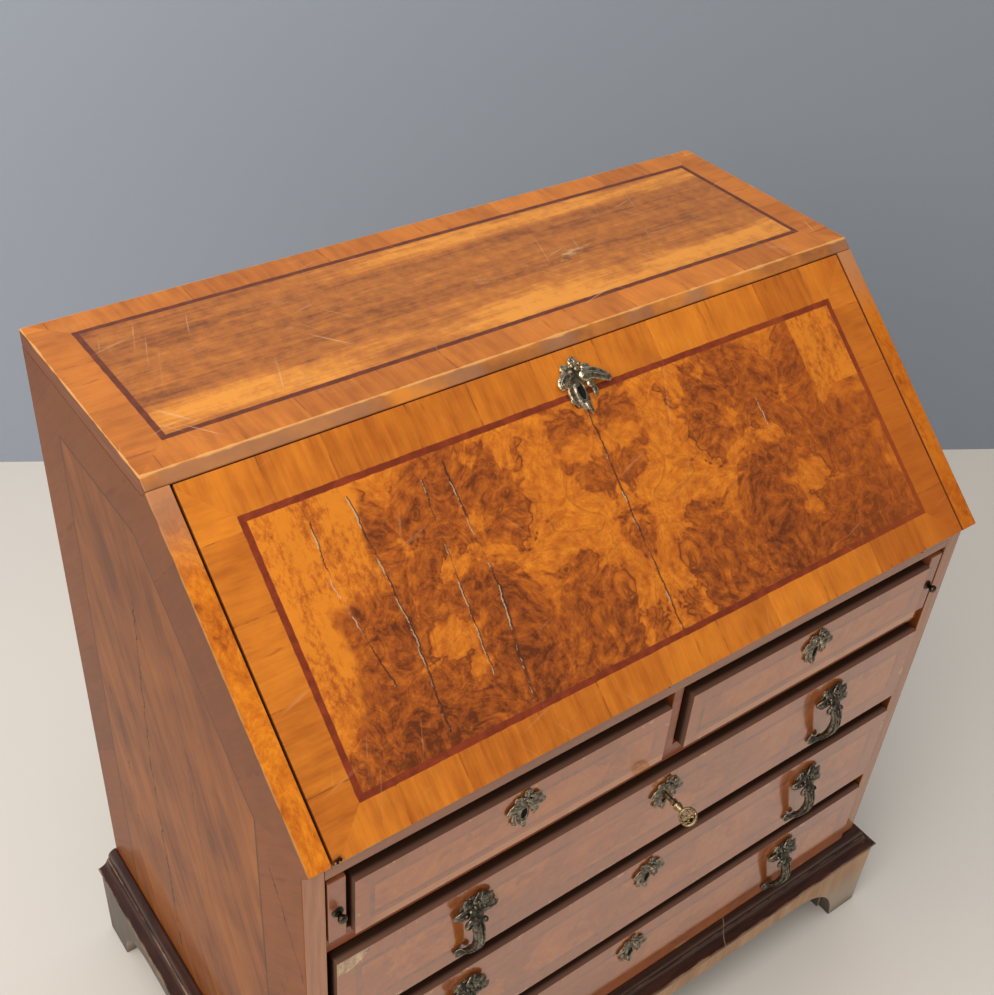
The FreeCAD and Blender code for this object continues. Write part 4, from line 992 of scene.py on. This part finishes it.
def make_knobs(metal):
    """The lopers' small turned pulls: rose, neck and head."""
    profile = [
        (0.0, 0.0), (0.0001, 0.0060), (0.0012, 0.0062), (0.0022, 0.0050), (0.0030, 0.0028),
        (0.0050, 0.0026), (0.0062, 0.0036), (0.0080, 0.0048), (0.0098, 0.0050), (0.0114, 0.0044),
        (0.0126, 0.0026), (0.0130, 0.0),
    ]
    for side in ("left", "right"):
        low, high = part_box(f"{side}_loper_knob")
        seat = Vector(((low.x + high.x) / 2, high.y, (low.z + high.z) / 2))
        bm = bmesh.new()
        lathe(bm, profile, seat, -1, 24)
        sealed(bm)
        add_piece(f"{side}_turned_knob", bm, f"{side}_loper", [metal], f"{side}_loper_knob", 50)


def make_back(material):
    """The back boards one above another, with eased edges that leave grooves between them."""
    low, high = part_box("back_boards")
    size = high - low
    size.z = size.z / BACK_BOARDS
    bm = bmesh.new()
    for count in range(BACK_BOARDS):
        middle = low + size / 2 + Vector((0, 0, size.z * count))
        place = Matrix.Translation(middle) @ Matrix.Diagonal((*size, 1))
        bmesh.ops.create_cube(bm, size=1, matrix=place)
    groove = 0.002
    bevel(bm, bm.edges[:], groove)
    add_piece("back_boards_eased", bm, "carcass", [material], "back_boards", 20)


def dress(material, *nodes):
    """Gives a finish to nodes that stay as they are."""
    for node in nodes:
        slots = frame["nodes"][node].data.materials
        slots.clear()
        slots.append(material)


def make_case():
    """Boards with eased arrises in their veneers, and plain wood behind them."""
    side = side_finish()
    moulding = moulding_finish()
    foot = foot_finish()
    rail = plain_finish("rail_wood", (0.22, 0.055, 0.018), (0.42, 0.11, 0.03), (3, 20, 90), 0.4, 0.6)
    bed = plain_finish("bed_wood", (0.24, 0.07, 0.022), (0.40, 0.13, 0.035), (4, 20, 90), 0.4, 0.9)
    loper = plain_finish("loper_wood", (0.26, 0.075, 0.03), (0.40, 0.13, 0.05), (60, 4, 60), 0.35, 1.0)
    case = plain_finish("case_wood", (0.26, 0.15, 0.065), (0.44, 0.27, 0.13), (60, 5, 60), 0.6)
    gallery = plain_finish("gallery_wood", (0.17, 0.065, 0.022), (0.32, 0.13, 0.042), (6, 30, 60), 0.4, 0.6)
    iron = metal_finish("lock_iron", (0.05, 0.045, 0.04), (0.3, 0.28, 0.25), 0.56)

    crisp, fine, soft = 0.001, 0.0012, 0.0016
    eased("fall_board", fine, fall_finish())
    eased("top_board", soft, top_finish())
    for name in ("left_side", "right_side"):
        eased(name, fine, side)
    for name, along in (("front_moulding", 0), ("left_moulding", 1), ("right_moulding", 1)):
        eased(name, soft, moulding, along)
    for name in ("front_apron", "side_aprons", "front_left_foot", "front_right_foot", "back_feet"):
        eased(name, fine, foot)
    for name in ("upper_rail", "middle_rail", "lower_rail", "drawer_divider"):
        eased(name, fine, rail)
    eased("writing_bed", crisp, bed)
    for name in ("left_loper", "right_loper"):
        eased(name, fine, loper)
    for drawer in LONG_DRAWERS:
        eased(f"{drawer}_front", soft, front_finish(drawer, inset=0.021, width=0.007))
    for drawer in SMALL_DRAWERS:
        eased(f"{drawer}_front", soft, front_finish(drawer, inset=0.016, width=0.0055))

    boxes = [name for name in frame["nodes"] if name.endswith("_drawer_box")]
    dress(case, *boxes, "drawer_runners", "loper_guides", "bottom_board")
    make_back(back_finish())
    dress(gallery, "gallery_shelf", "gallery_uprights", "fall_stops")
    dress(gallery, "left_inner_drawer", "right_inner_drawer")
    locks = [name for name in frame["nodes"] if name.endswith("_lock")]
    dress(iron, *locks, "lock_bolt", "bed_hinge_leaves", "fall_hinge_leaves", "hinge_pins")


def add_stage(name, bm, material):
    """Makes a floor or a wall of a bmesh."""
    mesh = bpy.data.meshes.new(name)
    bm.to_mesh(mesh)
    bm.free()
    mesh.materials.append(material)
    thing = put(name, mesh)


def make_stage():
    """A pale floor and a grey-blue wall with painted light on its left; the wall only shows from its front.
    """
    finish = Finish("stage_floor")
    shade = finish.noise(finish.place, 3, 3)
    finish.feed({"Base Color": finish.mix(shade, (0.70, 0.66, 0.61), (0.74, 0.70, 0.65)), "Roughness": 0.8})
    bm = bmesh.new()
    floor_half = 9
    bmesh.ops.create_grid(bm, x_segments=1, y_segments=1, size=floor_half)
    add_stage("stage_floor", bm, finish.material)

    finish = Finish("stage_wall")
    # Painted light: the wall is lighter to the left, where the light comes from, and darker to the right.
    shade = finish.step(finish.x, -1.2, 1.6)
    lit_left_paint = finish.mix(shade, (0.37, 0.415, 0.50), (0.275, 0.31, 0.365))
    finish.feed({"Base Color": lit_left_paint, "Roughness": 0.9})
    behind = finish.node("ShaderNodeNewGeometry", output="Backfacing")
    clear = finish.node("ShaderNodeBsdfTransparent")
    painted = Wire(finish, finish.shader.outputs[0])
    one_sided = finish.node("ShaderNodeMixShader", None, {0: behind, 1: painted, 2: clear})
    finish.join(finish.tree.nodes["Material Output"].inputs["Surface"], one_sided)
    left, right = Vector((-0.230, 1.484, 0)), Vector((1.702, 0.372, 0))
    run = (right - left).normalized()
    spare, height = 6, 6
    bm = bmesh.new()
    foot = bm.edges.new([bm.verts.new(left - run * spare), bm.verts.new(right + run * spare)])
    raised = bmesh.ops.extrude_edge_only(bm, edges=[foot])["geom"]
    head = [part for part in raised if isinstance(part, bmesh.types.BMVert)]
    bmesh.ops.translate(bm, vec=(0, 0, height), verts=head)
    bm.normal_update()
    away = [face for face in bm.faces if face.normal.y > 0]
    bmesh.ops.reverse_faces(bm, faces=away)
    add_stage("stage_wall", bm, finish.material)


def make_light():
    """Soft light from the left and from above, and an even room that polish mirrors more dimly."""
    world = bpy.data.worlds.new("soft_room")
    bpy.context.scene.world = world
    world.use_nodes = True
    nodes, links = world.node_tree.nodes, world.node_tree.links
    room = nodes["Background"]
    dim_room = nodes.new("ShaderNodeBackground")
    for shade, strength in ((room, 0.43), (dim_room, 0.10)):
        shade.inputs["Color"].default_value = (1.0, 0.98, 0.95, 1)
        shade.inputs["Strength"].default_value = strength
    rays = nodes.new("ShaderNodeLightPath")
    seen = nodes.new("ShaderNodeMixShader")
    links.new(rays.outputs["Is Glossy Ray"], seen.inputs[0])
    links.new(room.outputs[0], seen.inputs[1])
    links.new(dim_room.outputs[0], seen.inputs[2])
    links.new(seen.outputs[0], nodes["World Output"].inputs["Surface"])
    target = Vector((0, 0, 0.6))
    for name, place, size, power, mirrored in (
        ("key_light", (-2.6, -0.8, 3.2), 3.0, 105, True),
        ("top_light", (-0.2, 0.3, 3.6), 2.6, 54, False),
    ):
        lamp = bpy.data.lights.new(name, "AREA")
        lamp.size = size
        lamp.energy = power
        lamp.color = (1.0, 0.95, 0.88)
        light = put(name, lamp)
        light.location = place
        light.rotation_euler = (target - Vector(place)).to_track_quat("-Z", "Y").to_euler()
        light.visible_glossy = mirrored


def make_camera():
    """The photograph's place: above the left front corner, looking down."""
    lens = bpy.data.cameras.new("photo_camera")
    lens.lens = 47.84
    lens.sensor_width = 36
    lens.sensor_fit = "HORIZONTAL"
    camera = put("photo_camera", lens)
    camera.location = (-0.7831, -0.8813, 1.7528)
    camera.rotation_euler = [math.radians(turn) for turn in (51.419, -3.652, -36.040)]
    bpy.context.scene.camera = camera


make_camera()
make_case()
bronze = metal_finish("dark_bronze", (0.05, 0.044, 0.034), (0.48, 0.43, 0.34), 0.57)
rubbed_bronze = metal_finish("rubbed_bronze", (0.095, 0.080, 0.058), (0.62, 0.54, 0.41), 0.56)
gilt = metal_finish("worn_gilt", (0.18, 0.148, 0.094), (0.90, 0.80, 0.60), 0.55)
brass = metal_finish("key_brass", (0.12, 0.085, 0.04), (0.50, 0.39, 0.21), 0.57)
# Near-black painted shade for the keyhole walls and floors.
keyhole_shade = plain_finish("keyhole_shade", (0.004, 0.003, 0.002), (0.010, 0.007, 0.005), (90, 90, 90), 0.9)
make_hardware(bronze, rubbed_bronze, gilt, keyhole_shade)
make_key(brass)
make_knobs(metal_finish("knob_bronze", (0.03, 0.026, 0.02), (0.15, 0.13, 0.10), 0.6))
make_stage()
make_light()
bpy.context.scene.view_settings.view_transform = "Standard"
